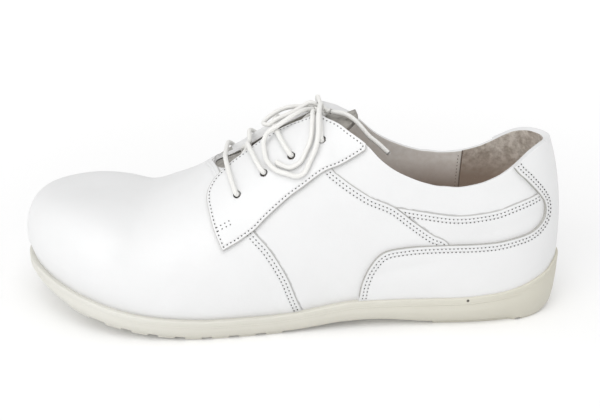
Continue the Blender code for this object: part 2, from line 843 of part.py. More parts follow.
def bridge_across(mesh, ring, stations):
    """Fills a ring with strips that run across the shoe."""
    count = len(ring)
    middle = stations.index((LATERAL, 1.0)) if (LATERAL, 1.0) in stations else count // 2
    for i in range(middle):
        left, next_left = ring[i], ring[i + 1]
        right, next_right = ring[-i % count], ring[(-i - 1) % count]
        corners = [left, next_left, next_right, right]
        distinct = list(dict.fromkeys(corners))
        if len(distinct) > 2:
            mesh.faces.new(distinct)


def sole_mesh():
    """The outsole without its lugs."""
    stations = ring_stations()
    mesh = bmesh.new()
    rings = []
    for inset, share, height in sole_rings():
        ring = []
        for side, along in stations:
            point = sole_point(side, along, inset + share * edge_round(side, along), height)
            ring.append(mesh.verts.new(point))
        rings.append(ring)
    count = len(stations)
    for upper, lower in zip(rings, rings[1:]):
        for i in range(count):
            j = (i + 1) % count
            mesh.faces.new((upper[i], lower[i], lower[j], upper[j]))
    bridge_across(mesh, rings[0], stations)
    bridge_across(mesh, rings[-1], stations)
    bmesh.ops.recalc_face_normals(mesh, faces=mesh.faces)
    bmesh.ops.triangulate(mesh, faces=mesh.faces)
    return mesh


def tread_bar(mesh, start, end, steps):
    """One raised bar under the sole, from side to side."""
    def root(along):
        return sole_underside(along) + LUG_ROOT

    def tip(along):
        return sole_underside(along) - LUG_DEPTH

    rows = []
    for along in np.linspace(start, end, steps + 1):
        loop = []
        for side, height in ((LATERAL, root), (LATERAL, tip), (MEDIAL, tip), (MEDIAL, root)):
            inset = edge_round(side, along) + LUG_INSET
            loop.append(mesh.verts.new(sole_point(side, along, inset, height)))
        rows.append(loop)
    for first, second in zip(rows, rows[1:]):
        for k in range(4):
            m = (k + 1) % 4
            mesh.faces.new((first[k], first[m], second[m], second[k]))
    mesh.faces.new(rows[0])
    mesh.faces.new(list(reversed(rows[-1])))


def tread_mesh():
    """The heel pad and the lugs below the ball of the foot."""
    mesh = bmesh.new()
    for start, end in HEEL_PADS:
        tread_bar(mesh, start, end, 3)
    for k in range(LUG_COUNT):
        middle = LUG_FIRST + k * LUG_PITCH / LENGTH
        half = LUG_LENGTH / LENGTH / 2
        tread_bar(mesh, middle - half, middle + half, 1)
    bmesh.ops.recalc_face_normals(mesh, faces=mesh.faces)
    bmesh.ops.triangulate(mesh, faces=mesh.faces)
    return mesh


def insole_mesh():
    """The insole: it lies on the sole, inside the upper, with a shallow hollow for the foot."""
    stations = ring_stations()
    inset = SHELF + WALL + INSOLE_ROOM
    rows = []
    stations = [station for station in stations if station[0] == LATERAL]
    for side, along in stations[:-1:2] + stations[-1:]:
        far = sole_point(MEDIAL, along, inset, sole_height)
        near = sole_point(LATERAL, along, inset, sole_height)
        rows.append([near.lerp(far, k / INSOLE_STEPS) for k in range(INSOLE_STEPS + 1)])
    mesh = sheet(rows)
    for vert in mesh.verts:
        vert.co.z = sole_height(min(max(vert.co.x / LENGTH + 0.5, 0.0), 1.0))
    mesh.normal_update()
    if sum(face.normal.z for face in mesh.faces) < 0:
        bmesh.ops.reverse_faces(mesh, faces=mesh.faces)
        mesh.normal_update()
    return thicken(mesh, GAP, GAP + INSOLE)


def eyelet_cutter(side):
    """The punches for the eyelets of one side."""
    mesh = bmesh.new()
    length = 6 * (WALL + OVERLAY)
    for along, rise in EYELETS:
        turn = last_normal(side, along, rise).to_track_quat("Z", "Y").to_matrix().to_4x4()
        place = Matrix.Translation(last_point(side, along, rise)) @ turn
        bmesh.ops.create_cone(
            mesh, cap_ends=True, segments=EYELET_SIDES,
            radius1=EYELET / 2, radius2=EYELET / 2, depth=length, matrix=place)
    return mesh


def smooth_route(points, spacing):
    """Evenly spaced points on a smooth open curve through a route's own points."""
    points = [Vector(point) for point in points]
    ends = [points[0] * 2 - points[1]] + points + [points[-1] * 2 - points[-2]]
    dense = []
    for a, b, c, d in zip(ends, ends[1:], ends[2:], ends[3:]):
        for t in np.arange(ROUTE_STEPS) / ROUTE_STEPS:
            bend = (2 * a - 5 * b + 4 * c - d) * t**2 + (3 * b - a - 3 * c + d) * t**3
            dense.append(0.5 * (2 * b + (c - a) * t + bend))
    dense.append(points[-1])
    lengths = [0.0]
    for a, b in zip(dense, dense[1:]):
        lengths.append(lengths[-1] + (b - a).length)
    count = max(3, round(lengths[-1] / spacing))
    result = []
    j = 0
    for k in range(count + 1):
        wanted = lengths[-1] * k / count
        while j < len(dense) - 2 and lengths[j + 1] < wanted:
            j += 1
        span = lengths[j + 1] - lengths[j]
        result.append(dense[j].lerp(dense[j + 1], (wanted - lengths[j]) / span if span else 0.0))
    return result


def lace_tube(name, route, finish):
    """A length of round lace along a route."""
    curve = bpy.data.curves.new(name, "CURVE")
    curve.dimensions = "3D"
    curve.bevel_depth = LACE / 2
    curve.bevel_resolution = LACE_BEVEL_STEPS
    curve.use_fill_caps = True
    points = smooth_route(route, LACE_STEP * LACE)
    spline = curve.splines.new("POLY")
    spline.points.add(len(points) - 1)
    for target, point in zip(spline.points, points):
        target.co = (*point, 1)
    item = bpy.data.objects.new(name, curve)
    bpy.context.collection.objects.link(item)
    curve.materials.append(finish)
    return item


# Heights of a lace's centre above the outside of the upper
OVER_FACING = GAP + FACET_ROOM + OVERLAY + GAP + LACE / 2
OVER_EDGE = OVER_FACING + LACE / 6


def gap_point(side, along, share, height):
    """A point over the throat. Share is 0 at its middle and 1 at its edge."""
    rise = gap_rise(side, along, throat_gap(side, along) * share)
    return last_offset(side, along, min(rise, NEAR_RIDGE), height)


def over_tongue(along, thickness=LACE):
    """Height of the middle of what lies on the tongue."""
    drop = lookup(TONGUE_DROP, TONGUE_DROP_COLUMNS, "drop", along) * WALL
    return GAP + thickness / 2 - drop


def bar_route():
    """The bar that crosses between the two front eyelets."""
    along, rise = EYELETS[0]
    half = []
    for side in (LATERAL, MEDIAL):
        turn = along + BAR[0][0] / 2 * LACE / LENGTH
        points = [last_offset(side, along, rise, OVER_FACING)]
        points.append(last_offset(side, turn, rise + BAR_CLIMB, OVER_EDGE))
        for ahead, out, height in BAR:
            points.append(gap_point(side, along + ahead * LACE / LENGTH, out, OVER_EDGE * height))
        half.append(points)
    return half[0] + half[1][::-1]


def crossing_routes(row):
    """Two strands that cross over the throat, each up to the next eyelet of the other side.

    The last pair runs back below the facings, because it comes up through the rear eyelets.
    """
    start = EYELETS[row][0]
    end, rise = EYELETS[row + 1]
    low = over_tongue((start + end) / 2) + 2 * GAP
    last = row == len(EYELETS) - 2

    def over_throat(side, place, height):
        back, out = place
        return gap_point(side if out > 0 else -side, start + (end - start) * back, abs(out), height)

    routes = []
    for side in (LATERAL, MEDIAL):
        layer = LACE / 2 if side == LATERAL else 0.0
        route = [
            over_throat(side, CROSSING_START[0], over_tongue(start) + GAP),
            over_throat(side, CROSSING_START[1], low + layer),
        ]
        if last:
            route += [
                over_throat(side, CROSSING_BELOW[0], low + layer),
                over_throat(side, CROSSING_BELOW[1], over_tongue(end) + GAP),
            ]
        else:
            back, climb = CROSSING_REST
            route += [
                over_throat(side, CROSSING_OVER[0], low + LACE),
                over_throat(side, CROSSING_OVER[1], OVER_EDGE + GAP),
                last_offset(-side, start + (end - start) * back, rise + climb, OVER_FACING + GAP),
                last_offset(-side, end, rise, OVER_FACING),
            ]
        routes.append(route)
    return routes


def riser_route(side):
    """The lace from a rear eyelet to the knot."""
    along, rise = EYELETS[-1]
    edge = edge_rise(side, along)
    start = last_offset(side, along, rise, OVER_FACING)
    middle = last_offset(side, along, (rise + edge) / 2, OVER_FACING + GAP)
    crest = last_offset(side, along, edge, OVER_EDGE)
    port = knot_port(90 * side, 0)
    return [start, middle, crest, crest.lerp(port, RISER_TOP) + Vector((0, 0, GAP)), port]


def knot_port(turn, climb):
    """Where a lace meets the knot: degrees round it from the toe's side, and degrees up."""
    turn, climb = math.radians(turn), math.radians(climb)
    way = Vector((math.cos(climb) * math.cos(turn), math.cos(climb) * math.sin(turn), math.sin(climb)))
    size = Vector((KNOT_DEPTH, KNOT_LENGTH, KNOT_HEIGHT)) / 2
    return knot_centre() + way * (LACE / 2) + Vector([a * b for a, b in zip(way, size)])


def knot_centre():
    """The knot lies on the tongue, between the rear eyelets."""
    height = over_tongue(KNOT_ALONG, KNOT_HEIGHT) + GAP
    return last_offset(LATERAL, KNOT_ALONG, NEAR_RIDGE, height)


def bow_route(table, ports):
    """The route of one free cord of the bow. A loop has a second port, where it comes back."""
    centre = knot_centre()
    route = [knot_port(*ports[0])]
    route += [centre + Vector(row) * LACE for row in table]
    if len(ports) > 1:
        route.append(knot_port(*ports[1]))
    return route


def knot_mesh():
    """The knot, as one small rounded solid."""
    mesh = bmesh.new()
    bmesh.ops.create_uvsphere(mesh, u_segments=KNOT_SIDES[0], v_segments=KNOT_SIDES[1], radius=0.5)
    size = Vector((KNOT_DEPTH, KNOT_LENGTH, KNOT_HEIGHT))
    centre = knot_centre()
    for vert in mesh.verts:
        vert.co = centre + Vector([c * s for c, s in zip(vert.co, size)])
    return mesh


def join_tubes(name, tubes, finish):
    """One solid from two tubes that cross."""
    meshes = []
    for tube in tubes:
        view = bpy.context.evaluated_depsgraph_get()
        data = bpy.data.meshes.new_from_object(tube.evaluated_get(view))
        meshes.append(data)
        bpy.data.objects.remove(tube)
    first = bpy.data.objects.new(name, meshes[0])
    second = bpy.data.objects.new(name + " other strand", meshes[1])
    for item in (first, second):
        bpy.context.collection.objects.link(item)
    if not first.data.materials:
        first.data.materials.append(finish)
    boolean(first, second, "UNION")


def main():
    for item in list(bpy.data.objects):
        bpy.data.objects.remove(item)
    leather = material("white smooth leather", (0.86, 0.86, 0.85), 0.42)
    rubber = material("ivory rubber", (0.72, 0.69, 0.60), 0.65)
    suede = material("grey suede", (0.42, 0.40, 0.36), 0.95)
    tan = material("tan insole leather", (0.50, 0.30, 0.16), 0.70)
    cord = material("white lace", (0.85, 0.84, 0.81), 0.90)

    outsole = make_object("outsole", sole_mesh(), rubber)
    tread = make_object("tread bars", tread_mesh(), None)
    boolean(outsole, tread, "UNION")
    make_object("insole", insole_mesh(), tan)
    upper = make_object("upper", upper_mesh(), leather)
    make_object("heel_counter", counter_mesh(), leather)
    make_object("tongue", tongue_mesh(), suede)
    for side, word in ((LATERAL, "lateral"), (MEDIAL, "medial")):
        facing = make_object("facing_" + word, facing_mesh(side), leather)
        punch = make_object("punch " + word, eyelet_cutter(side), None)
        boolean(facing, punch, "DIFFERENCE")
        boolean(upper, punch, "DIFFERENCE")

    lace_tube("lace_bar", bar_route(), cord)
    for row in range(len(EYELETS) - 1):
        strands = [lace_tube("strand", route, cord) for route in crossing_routes(row)]
        join_tubes("lace_crossing_%d" % (row + 1), strands, cord)
    for side, word in ((LATERAL, "lateral"), (MEDIAL, "medial")):
        lace_tube("lace_riser_" + word, riser_route(side), cord)
    make_object("lace_knot", knot_mesh(), cord)
    lace_tube("lace_loop_lateral", bow_route(LOOP_LATERAL, LOOP_LATERAL_PORTS), cord)
    lace_tube("lace_loop_front", bow_route(LOOP_FRONT, LOOP_FRONT_PORTS), cord)
    lace_tube("lace_end_front", bow_route(END_FRONT, END_FRONT_PORTS), cord)
    lace_tube("lace_end_back", bow_route(END_BACK, END_BACK_PORTS), cord)


main()
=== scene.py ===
"""Left leather sneaker: its finished look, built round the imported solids.

Metres, +Z up, the toe to +X and the lateral side of the foot to +Y. The sections follow the shoe as
it is put together: upper, facings, heel counter, tongue, outsole, insole, laces, bow, stitching.
"""
import math
from functools import lru_cache

import bmesh
import bpy
import numpy as np
from mathutils import Matrix, Vector, noise


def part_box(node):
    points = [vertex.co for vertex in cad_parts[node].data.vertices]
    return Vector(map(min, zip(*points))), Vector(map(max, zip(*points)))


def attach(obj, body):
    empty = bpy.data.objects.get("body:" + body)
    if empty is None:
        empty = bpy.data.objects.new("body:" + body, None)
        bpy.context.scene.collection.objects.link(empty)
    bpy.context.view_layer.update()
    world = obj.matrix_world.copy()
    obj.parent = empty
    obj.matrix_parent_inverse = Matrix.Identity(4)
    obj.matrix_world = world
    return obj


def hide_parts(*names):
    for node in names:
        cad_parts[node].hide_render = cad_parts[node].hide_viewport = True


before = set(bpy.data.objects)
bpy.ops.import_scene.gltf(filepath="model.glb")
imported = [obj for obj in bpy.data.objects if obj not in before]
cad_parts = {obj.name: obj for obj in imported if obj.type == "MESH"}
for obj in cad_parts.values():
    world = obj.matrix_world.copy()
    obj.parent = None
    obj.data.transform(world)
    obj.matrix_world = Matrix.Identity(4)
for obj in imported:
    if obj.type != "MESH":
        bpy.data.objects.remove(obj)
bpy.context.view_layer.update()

# Camera
# It looks at the lateral side from a little above, with the toe to the left, as the photograph does.
IMAGE_WIDTH = 600
FOCAL_PIXELS = 892
SENSOR_MM = 36
CAMERA_PLACE = Vector((0.0070, 0.4395, 0.2269))
CAMERA_TURN = math.radians(1.36)
CAMERA_CLIMB = math.radians(21.9)
CAMERA_ROLL = math.radians(0.65)

back = Vector((
    math.sin(CAMERA_TURN) * math.cos(CAMERA_CLIMB),
    math.cos(CAMERA_TURN) * math.cos(CAMERA_CLIMB),
    math.sin(CAMERA_CLIMB),
))
level = (-back).cross(Vector((0, 0, 1))).normalized()
upright = level.cross(-back)
right = level * math.cos(CAMERA_ROLL) + upright * math.sin(CAMERA_ROLL)
up = upright * math.cos(CAMERA_ROLL) - level * math.sin(CAMERA_ROLL)

camera = bpy.data.objects.new("camera", bpy.data.cameras.new("camera"))
camera.data.sensor_width = SENSOR_MM
camera.data.lens = SENSOR_MM * FOCAL_PIXELS / IMAGE_WIDTH
camera.data.clip_start = 0.01
camera.matrix_world = Matrix.Translation(CAMERA_PLACE) @ Matrix((right, up, back)).transposed().to_4x4()
bpy.context.scene.collection.objects.link(camera)
bpy.context.scene.camera = camera

# Upper
# White full-grain leather, lasted over a foot form and lined. The vamp overlaps the quarters, and
# each quarter is a front piece lapped over a rear piece and a collar piece, with two rows of stitches.
sole_low, sole_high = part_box("outsole")
LENGTH = sole_high.x - sole_low.x
BALL_WIDTH = sole_high.y - sole_low.y
INSTEP_HEIGHT = 0.104
HEEL_HEIGHT = 0.0925
SOLE_HEIGHT = 0.030
SHELF = 0.0030
WALL = 0.0020
GAP = 0.0003
HEEL_CENTRE = 0.143
TOE_CENTRE = 0.832
THROAT_ROUND = 0.612
THROAT_FRONT = 0.647
LATERAL = 1
MEDIAL = -1
SKIN_STEP = 0.0020      # spacing of the points on the leather
SKIN_ROWS = 46
FOOT_TUCK = 0.0005      # how far the upper's foot reaches down, so that no light shows below it
RIM_ROUND = 0.0008

# Eyelets, from the toe back
EYELET = 0.0040
PUNCH_LENGTH = 0.020
EYELETS = (
    (0.597, 0.571),
    (0.551, 0.618),
    (0.504, 0.636),
    (0.453, 0.641),
)

# Outline of the sole: along in shares of LENGTH, then the lateral and the medial half width in shares
# of BALL_WIDTH
OUTLINE = (
    (0.012, 0.120, 0.120),
    (0.045, 0.226, 0.226),
    (0.100, 0.303, 0.303),
    (0.170, 0.341, 0.337),
    (0.270, 0.356, 0.332),
    (0.370, 0.373, 0.313),
    (0.470, 0.409, 0.317),
    (0.570, 0.457, 0.365),
    (0.670, 0.495, 0.442),
    (0.750, 0.495, 0.490),
    (0.830, 0.447, 0.500),
    (0.900, 0.351, 0.471),
    (0.955, 0.216, 0.389),
    (0.988, 0.063, 0.284),
)
TOE_TIP = 0.115         # the foremost point lies this far to the medial side, in BALL_WIDTH
# Cross-sections of the last. The ridge is instep x INSTEP_HEIGHT + heel x HEEL_HEIGHT. Behind the
# throat it is only the line that the sides aim at. Round is the exponent of the curve: 2 is an
# ellipse, and more is fuller. Spine and bulge are in shares of BALL_WIDTH.
SECTION_COLUMNS = ("along", "spine", "instep", "heel", "round_width", "round_height", "bulge")
SECTIONS = (
    (0.143, 0.000, 0.000, 1.319, 2.00, 2.00, 0.003),
    (0.245, 0.000, 0.400, 0.923, 2.10, 2.10, 0.015),
    (0.350, -0.010, 0.800, 0.399, 2.30, 2.30, 0.021),
    (0.437, -0.019, 1.055, 0.000, 2.45, 2.35, 0.023),
    (0.490, -0.029, 0.984, 0.000, 2.40, 2.30, 0.025),
    (0.542, -0.038, 0.904, 0.000, 2.30, 2.20, 0.027),
    (0.601, -0.048, 0.804, 0.000, 2.15, 2.15, 0.029),
    (0.664, -0.067, 0.710, 0.000, 2.10, 2.20, 0.029),
    (0.717, -0.077, 0.640, 0.000, 2.20, 2.30, 0.029),
    (0.776, -0.086, 0.584, 0.000, 2.60, 2.80, 0.029),
    (0.832, -0.096, 0.584, 0.000, 3.80, 4.20, 0.029),
    (0.900, -0.096, 0.584, 0.000, 5.00, 5.00, 0.029),
    (1.000, -0.096, 0.584, 0.000, 5.50, 5.50, 0.029),
)
# Top edge of the sole, where the upper stands on it, in shares of SOLE_HEIGHT
FEATHER_COLUMNS = ("along", "height")
FEATHER = (
    (0.000, 1.000),
    (0.018, 0.950),
    (0.032, 0.850),
    (0.056, 0.770),
    (0.087, 0.677),
    (0.119, 0.613),
    (0.150, 0.580),
    (0.200, 0.548),
    (0.300, 0.540),
    (0.385, 0.533),
    (0.420, 0.500),
    (0.455, 0.447),
    (0.500, 0.390),
    (0.550, 0.361),
    (0.640, 0.361),
    (0.700, 0.392),
    (0.760, 0.440),
    (0.820, 0.530),
    (0.870, 0.640),
    (0.920, 0.757),
    (0.960, 0.862),
    (1.000, 0.927),
)
# Collar edge, its height as instep x INSTEP_HEIGHT + heel x HEEL_HEIGHT
COLLAR_COLUMNS = ("along", "instep", "heel")
COLLAR = (
    (0.000, 0.000, 1.000),
    (0.028, 0.000, 0.998),
    (0.062, 0.000, 0.977),
    (0.091, 0.000, 0.938),
    (0.115, 0.000, 0.898),
    (0.135, 0.000, 0.868),
    (0.154, 0.000, 0.842),
    (0.184, 0.000, 0.814),
    (0.217, 0.000, 0.803),
    (0.246, 0.000, 0.811),
    (0.275, 0.100, 0.717),
    (0.305, 0.250, 0.582),
    (0.335, 0.450, 0.404),
    (0.355, 0.600, 0.281),
    (0.378, 0.780, 0.147),
    (0.415, 0.971, 0.000),
    (0.445, 1.002, 0.000),
    (0.475, 1.040, 0.000),
)
# Half width of the throat, in shares of the half section's width
THROAT_COLUMNS = ("along", "half_gap")
THROAT = (
    (0.380, 0.440),
    (0.395, 0.450),
    (0.434, 0.435),
    (0.450, 0.365),
    (0.475, 0.304),
    (0.500, 0.266),
    (0.530, 0.246),
    (0.545, 0.247),
    (0.575, 0.270),
    (0.600, 0.300),
    (0.612, 0.318),
)


def read_column(table, columns, name):
    """One named column of a table as an array."""
    return np.array([row[columns.index(name)] for row in table])


@lru_cache(maxsize=None)
def slopes(table, columns, name):
    """Slopes at the rows, so that the curve through them never overshoots."""
    x = read_column(table, columns, columns[0])
    y = read_column(table, columns, name)
    steps = np.diff(x)
    rises = np.diff(y) / steps
    result = np.zeros(len(x))
    result[0] = rises[0]
    result[-1] = rises[-1]
    for i in range(1, len(x) - 1):
        before, after = rises[i - 1], rises[i]
        if before * after > 0:
            w1 = 2 * steps[i] + steps[i - 1]
            w2 = steps[i] + 2 * steps[i - 1]
            result[i] = (w1 + w2) / (w1 / before + w2 / after)
    return x, y, result


def lookup(table, columns, name, along):
    """A smooth value between the rows of a table, at a share along the sole."""
    x, y, slope = slopes(table, columns, name)
    along = min(max(along, x[0]), x[-1])
    i = min(max(int(np.searchsorted(x, along)) - 1, 0), len(x) - 2)
    h = x[i + 1] - x[i]
    t = (along - x[i]) / h
    return (
        (2 * t**3 - 3 * t**2 + 1) * y[i]
        + (t**3 - 2 * t**2 + t) * h * slope[i]
        + (3 * t**2 - 2 * t**3) * y[i + 1]
        + (t**3 - t**2) * h * slope[i + 1]
    )


def closed_curve(points, steps):
    """A smooth closed curve through points, with even curvature at each of them."""
    points = np.asarray(points, float)
    count = len(points)
    spans = np.linalg.norm(np.roll(points, -1, 0) - points, axis=1)
    matrix = np.zeros((count, count))
    right = np.zeros((count, 2))
    for i in range(count):
        before, after = spans[i - 1], spans[i]
        following = points[(i + 1) % count]
        matrix[i, i - 1] = after
        matrix[i, i] = 2 * (before + after)
        matrix[i, (i + 1) % count] = before
        ahead = following - points[i]
        behind = points[i] - points[i - 1]
        right[i] = 3 * (before * ahead / after + after * behind / before)
    tangents = np.linalg.solve(matrix, right)
    t = np.linspace(0, 1, steps, endpoint=False)[:, None]
    pieces = []
    for i in range(count):
        j = (i + 1) % count
        pieces.append(
            (2 * t**3 - 3 * t**2 + 1) * points[i]
            + (t**3 - 2 * t**2 + t) * spans[i] * tangents[i]
            + (3 * t**2 - 2 * t**3) * points[j]
            + (t**3 - t**2) * spans[i] * tangents[j]
        )
    return np.concatenate(pieces)


@lru_cache(maxsize=None)
def outline():
    """The sole seen from above, from x = 0 at the heel, exactly LENGTH long and BALL_WIDTH wide."""
    lateral = [(row[0] * LENGTH, row[1] * BALL_WIDTH) for row in OUTLINE]
    medial = [(row[0] * LENGTH, -row[2] * BALL_WIDTH) for row in reversed(OUTLINE)]
    curve = closed_curve([(0, 0)] + lateral + [(LENGTH, -TOE_TIP * BALL_WIDTH)] + medial, 30)
    low = curve.min(0)
    high = curve.max(0)
    size = np.array([LENGTH, BALL_WIDTH])
    return (curve - low) / (high - low) * size - (0, BALL_WIDTH / 2)


@lru_cache(maxsize=None)
def inner_outline(distance):
    """The sole's outline, drawn in by a distance."""
    curve = outline()
    tangent = np.roll(curve, -1, 0) - np.roll(curve, 1, 0)
    tangent /= np.linalg.norm(tangent, axis=1)[:, None]
    normal = np.stack([-tangent[:, 1], tangent[:, 0]], -1)
    outwards = np.sign(((curve - curve.mean(0)) * normal).sum())
    return curve - normal * outwards * distance


def reach(curve, centre, direction):
    """Distance from a centre to a closed curve."""
    start = curve - centre
    end = np.roll(curve, -1, 0) - centre
    cross_start = start[:, 0] * direction[1] - start[:, 1] * direction[0]
    cross_end = end[:, 0] * direction[1] - end[:, 1] * direction[0]
    hits = np.where((cross_start * cross_end <= 0) & (cross_start != cross_end))[0]
    t = (cross_start[hits] / (cross_start[hits] - cross_end[hits]))[:, None]
    return float(((start[hits] + (end[hits] - start[hits]) * t) @ direction).max())


@lru_cache(maxsize=None)
def section(side, along):
    """One half section of the last: its centre, the way it faces, and its sizes.

    Sections stand across the shoe along its sides, and fan out round the heel and the toe.
    """
    middle = min(max(along, HEEL_CENTRE), TOE_CENTRE)
    angle = math.pi / 2
    if along < HEEL_CENTRE:
        angle += math.pi / 2 * (HEEL_CENTRE - along) / HEEL_CENTRE
    if along > TOE_CENTRE:
        angle -= math.pi / 2 * (along - TOE_CENTRE) / (1 - TOE_CENTRE)
    direction = np.array([math.cos(angle), side * math.sin(angle)])

    def value(name):
        return lookup(SECTIONS, SECTION_COLUMNS, name, middle)

    centre = np.array([middle * LENGTH, value("spine") * BALL_WIDTH])
    width = reach(inner_outline(SHELF), centre, direction)
    foot = (centre + direction * width)[0] / LENGTH
    return {
        "centre": centre,
        "direction": direction,
        "width": width,
        "sole_width": reach(outline(), centre, direction),
        "foot": foot,
        "low": lookup(FEATHER, FEATHER_COLUMNS, "height", foot) * SOLE_HEIGHT,
        "ridge": value("instep") * INSTEP_HEIGHT + value("heel") * HEEL_HEIGHT,
        "round_width": lookup(SECTIONS, SECTION_COLUMNS, "round_width", along),
        "round_height": lookup(SECTIONS, SECTION_COLUMNS, "round_height", along),
        "bulge": value("bulge") * BALL_WIDTH,
    }


def to_world(x, y, z):
    """From distances along the sole to the part's own frame."""
    return Vector((x - LENGTH / 2, y, z))


def last_point(side, along, rise):
    """A point on the outside of the upper. Rise runs from 0 at the sole to 1 at the ridge."""
    half = section(side, along)
    angle = min(max(rise, 0.0), 1.0) * math.pi / 2
    height = math.sin(angle) ** (2 / half["round_height"])
    out = half["width"] * math.cos(angle) ** (2 / half["round_width"])
    out += half["bulge"] * math.sin(math.pi * min(height, 1.0) ** 0.6)
    x, y = half["centre"] + half["direction"] * out
    return to_world(x, y, half["low"] + (half["ridge"] - half["low"]) * height)


def last_normal(side, along, rise):
    """The way that the upper faces at a point."""
    step = 0.004
    across = last_point(side, along, rise + step) - last_point(side, along, rise - step)
    forward = last_point(side, along + step, rise) - last_point(side, along - step, rise)
    return across.cross(forward).normalized() * side


def last_offset(side, along, rise, height):
    """A point that stands off the upper by a height."""
    return last_point(side, along, rise) + last_normal(side, along, rise) * height


def gap_rise(side, along, half_gap):
    """The rise of a point at a distance from the middle of the throat."""
    half = section(side, along)
    share = min(abs(half_gap) / half["width"], 1.0)
    return math.acos(share ** (half["round_width"] / 2)) / (math.pi / 2)


def throat_gap(side, along):
    """Half the width of the throat. It closes in a round front end."""
    if along >= THROAT_FRONT:
        return 0.0
    gap = lookup(THROAT, THROAT_COLUMNS, "half_gap", along) * section(side, along)["width"]
    if along > THROAT_ROUND:
        gap *= math.sqrt(1 - ((along - THROAT_ROUND) / (THROAT_FRONT - THROAT_ROUND)) ** 2)
    return gap


def edge_rise(side, along):
    """The rise of the upper's top edge: the collar, the throat, or the closed ridge."""
    if along >= THROAT_FRONT:
        return 1.0
    half = section(side, along)
    rise = 1.0
    if along > THROAT[0][0]:
        rise = gap_rise(side, along, throat_gap(side, along))
    if along < COLLAR[-1][0]:
        foot = min(max(half["foot"], 0.0), 1.0)
        height = lookup(COLLAR, COLLAR_COLUMNS, "instep", foot) * INSTEP_HEIGHT
        height += lookup(COLLAR, COLLAR_COLUMNS, "heel", foot) * HEEL_HEIGHT
        share = min(max((height - half["low"]) / (half["ridge"] - half["low"]), 0.0), 0.98)
        rise = min(rise, math.asin(share ** (half["round_height"] / 2)) / (math.pi / 2))
    return rise


# Seams of one side, as points along the sole and up the upper. The overlapping piece lies ahead of
# the vamp seam and of the side seam, and below the collar seam. Their ends run on under the overlays.
VAMP_SEAM = (
    (0.487, 0.000),
    (0.498, 0.046),
    (0.511, 0.116),
    (0.528, 0.194),
    (0.544, 0.262),
    (0.570, 0.361),
    (0.597, 0.500),
    (0.622, 0.700),
    (0.640, 0.900),
    (0.650, 1.000),
)
SIDE_SEAM = (
    (0.196, 0.000),
    (0.212, 0.090),
    (0.232, 0.165),
    (0.260, 0.188),
    (0.296, 0.229),
    (0.328, 0.274),
    (0.366, 0.317),
    (0.395, 0.374),
    (0.423, 0.445),
    (0.437, 0.488),
    (0.450, 0.600),
    (0.455, 1.000),
)
COLLAR_SEAM = (
    (0.073, 0.302),
    (0.116, 0.291),
    (0.161, 0.270),
    (0.220, 0.252),
    (0.279, 0.259),
    (0.326, 0.273),
)
LINING_SEAM = 0.175     # share along the sole where the smooth lining laps over the suede heel lining
SEAM_STEP = 0.0007      # leather that is left after its edge is skived
LINING_STEP = 0.0004
EDGE_WIDTH = 0.00035    # cut edge of a lapped piece, seen from above
EDGE_SOFT = 0.0009
MERGE = 0.00002         # points nearer to each other than this become one
FADE_START = 0.0025     # where an overlap starts to sink down onto the last
FADE_LENGTH = 0.0095
FIRST_ROW = 0.0018      # the two stitch rows, in from the edge of the overlapping piece
SECOND_ROW = 0.0036
FAR = 0.02

# Soft troughs: from one point to another on both sides of the shoe, and how deep and wide they are
CREASES = (
    (0.352, 0.066, 0.250, 0.104, 0.00045, 0.0040),
    (0.470, 0.400, 0.425, 0.385, 0.00030, 0.0050),
    (0.395, 0.300, 0.330, 0.215, 0.00030, 0.0060),
    (0.205, 0.330, 0.130, 0.345, 0.00035, 0.0055),
    (0.690, 0.180, 0.660, 0.420, 0.00025, 0.0070),
    (0.655, 0.960, 0.690, 0.800, 0.00030, 0.0050),
)
WAVE = 0.00018          # unevenness that hand lasting leaves
WAVE_LENGTH = 0.030


def catmull(points, steps):
    """Points on a smooth curve through points of any dimension."""
    points = np.array(points, float)
    ends = np.concatenate([[points[0] * 2 - points[1]], points, [points[-1] * 2 - points[-2]]])
    curve = []
    for a, b, c, d in zip(ends, ends[1:], ends[2:], ends[3:]):
        for t in np.arange(steps) / steps:
            bend = (2 * a - 5 * b + 4 * c - d) * t**2 + (3 * b - a - 3 * c + d) * t**3
            curve.append(0.5 * (2 * b + (c - a) * t + bend))
    curve.append(points[-1])
    return np.array(curve)


def seam_line(seam, side, steps=5):
    """A seam on the outside of the upper, as points in space."""
    return np.array([last_point(side, along, rise) for along, rise in catmull(seam, steps)])


def distance_to_line(points, line):
    """Distance from each point to a line through points."""
    nearest = np.full(len(points), FAR)
    for start, end in zip(line, line[1:]):
        run = end - start
        share = np.clip((points - start) @ run / max(run @ run, 1e-12), 0, 1)
        nearest = np.minimum(nearest, np.linalg.norm(points - start - share[:, None] * run, axis=1))
    return nearest


def seam_reach(seam, points):
    """Distance from each point to a seam, on whichever side of the shoe is nearer."""
    return np.minimum(*[distance_to_line(points, seam_line(seam, side)) for side in (LATERAL, MEDIAL)])


def vamp_lap(points, along, rise):
    """Distance onto the vamp from its seam, and less than 0 behind it."""
    curve = catmull(VAMP_SEAM, 5)
    return np.sign(along - np.interp(rise, curve[:, 1], curve[:, 0])) * seam_reach(VAMP_SEAM, points)


def side_lap(points, along, rise):
    """Distance onto the front piece of the quarter from the side seam."""
    curve = catmull(SIDE_SEAM, 5)
    return np.sign(along - np.interp(rise, curve[:, 1], curve[:, 0])) * seam_reach(SIDE_SEAM, points)


def collar_lap(points, along, rise):
    """Distance onto the rear piece of the quarter from the collar seam."""
    curve = catmull(COLLAR_SEAM, 5)
    lap = np.sign(np.interp(along, curve[:, 0], curve[:, 1]) - rise) * seam_reach(COLLAR_SEAM, points)
    return np.where(side_lap(points, along, rise) > 0, -FAR, lap)


def lining_lap(points, along, rise):
    """Distance onto the smooth lining from its seam with the heel lining."""
    return (along - LINING_SEAM) * LENGTH


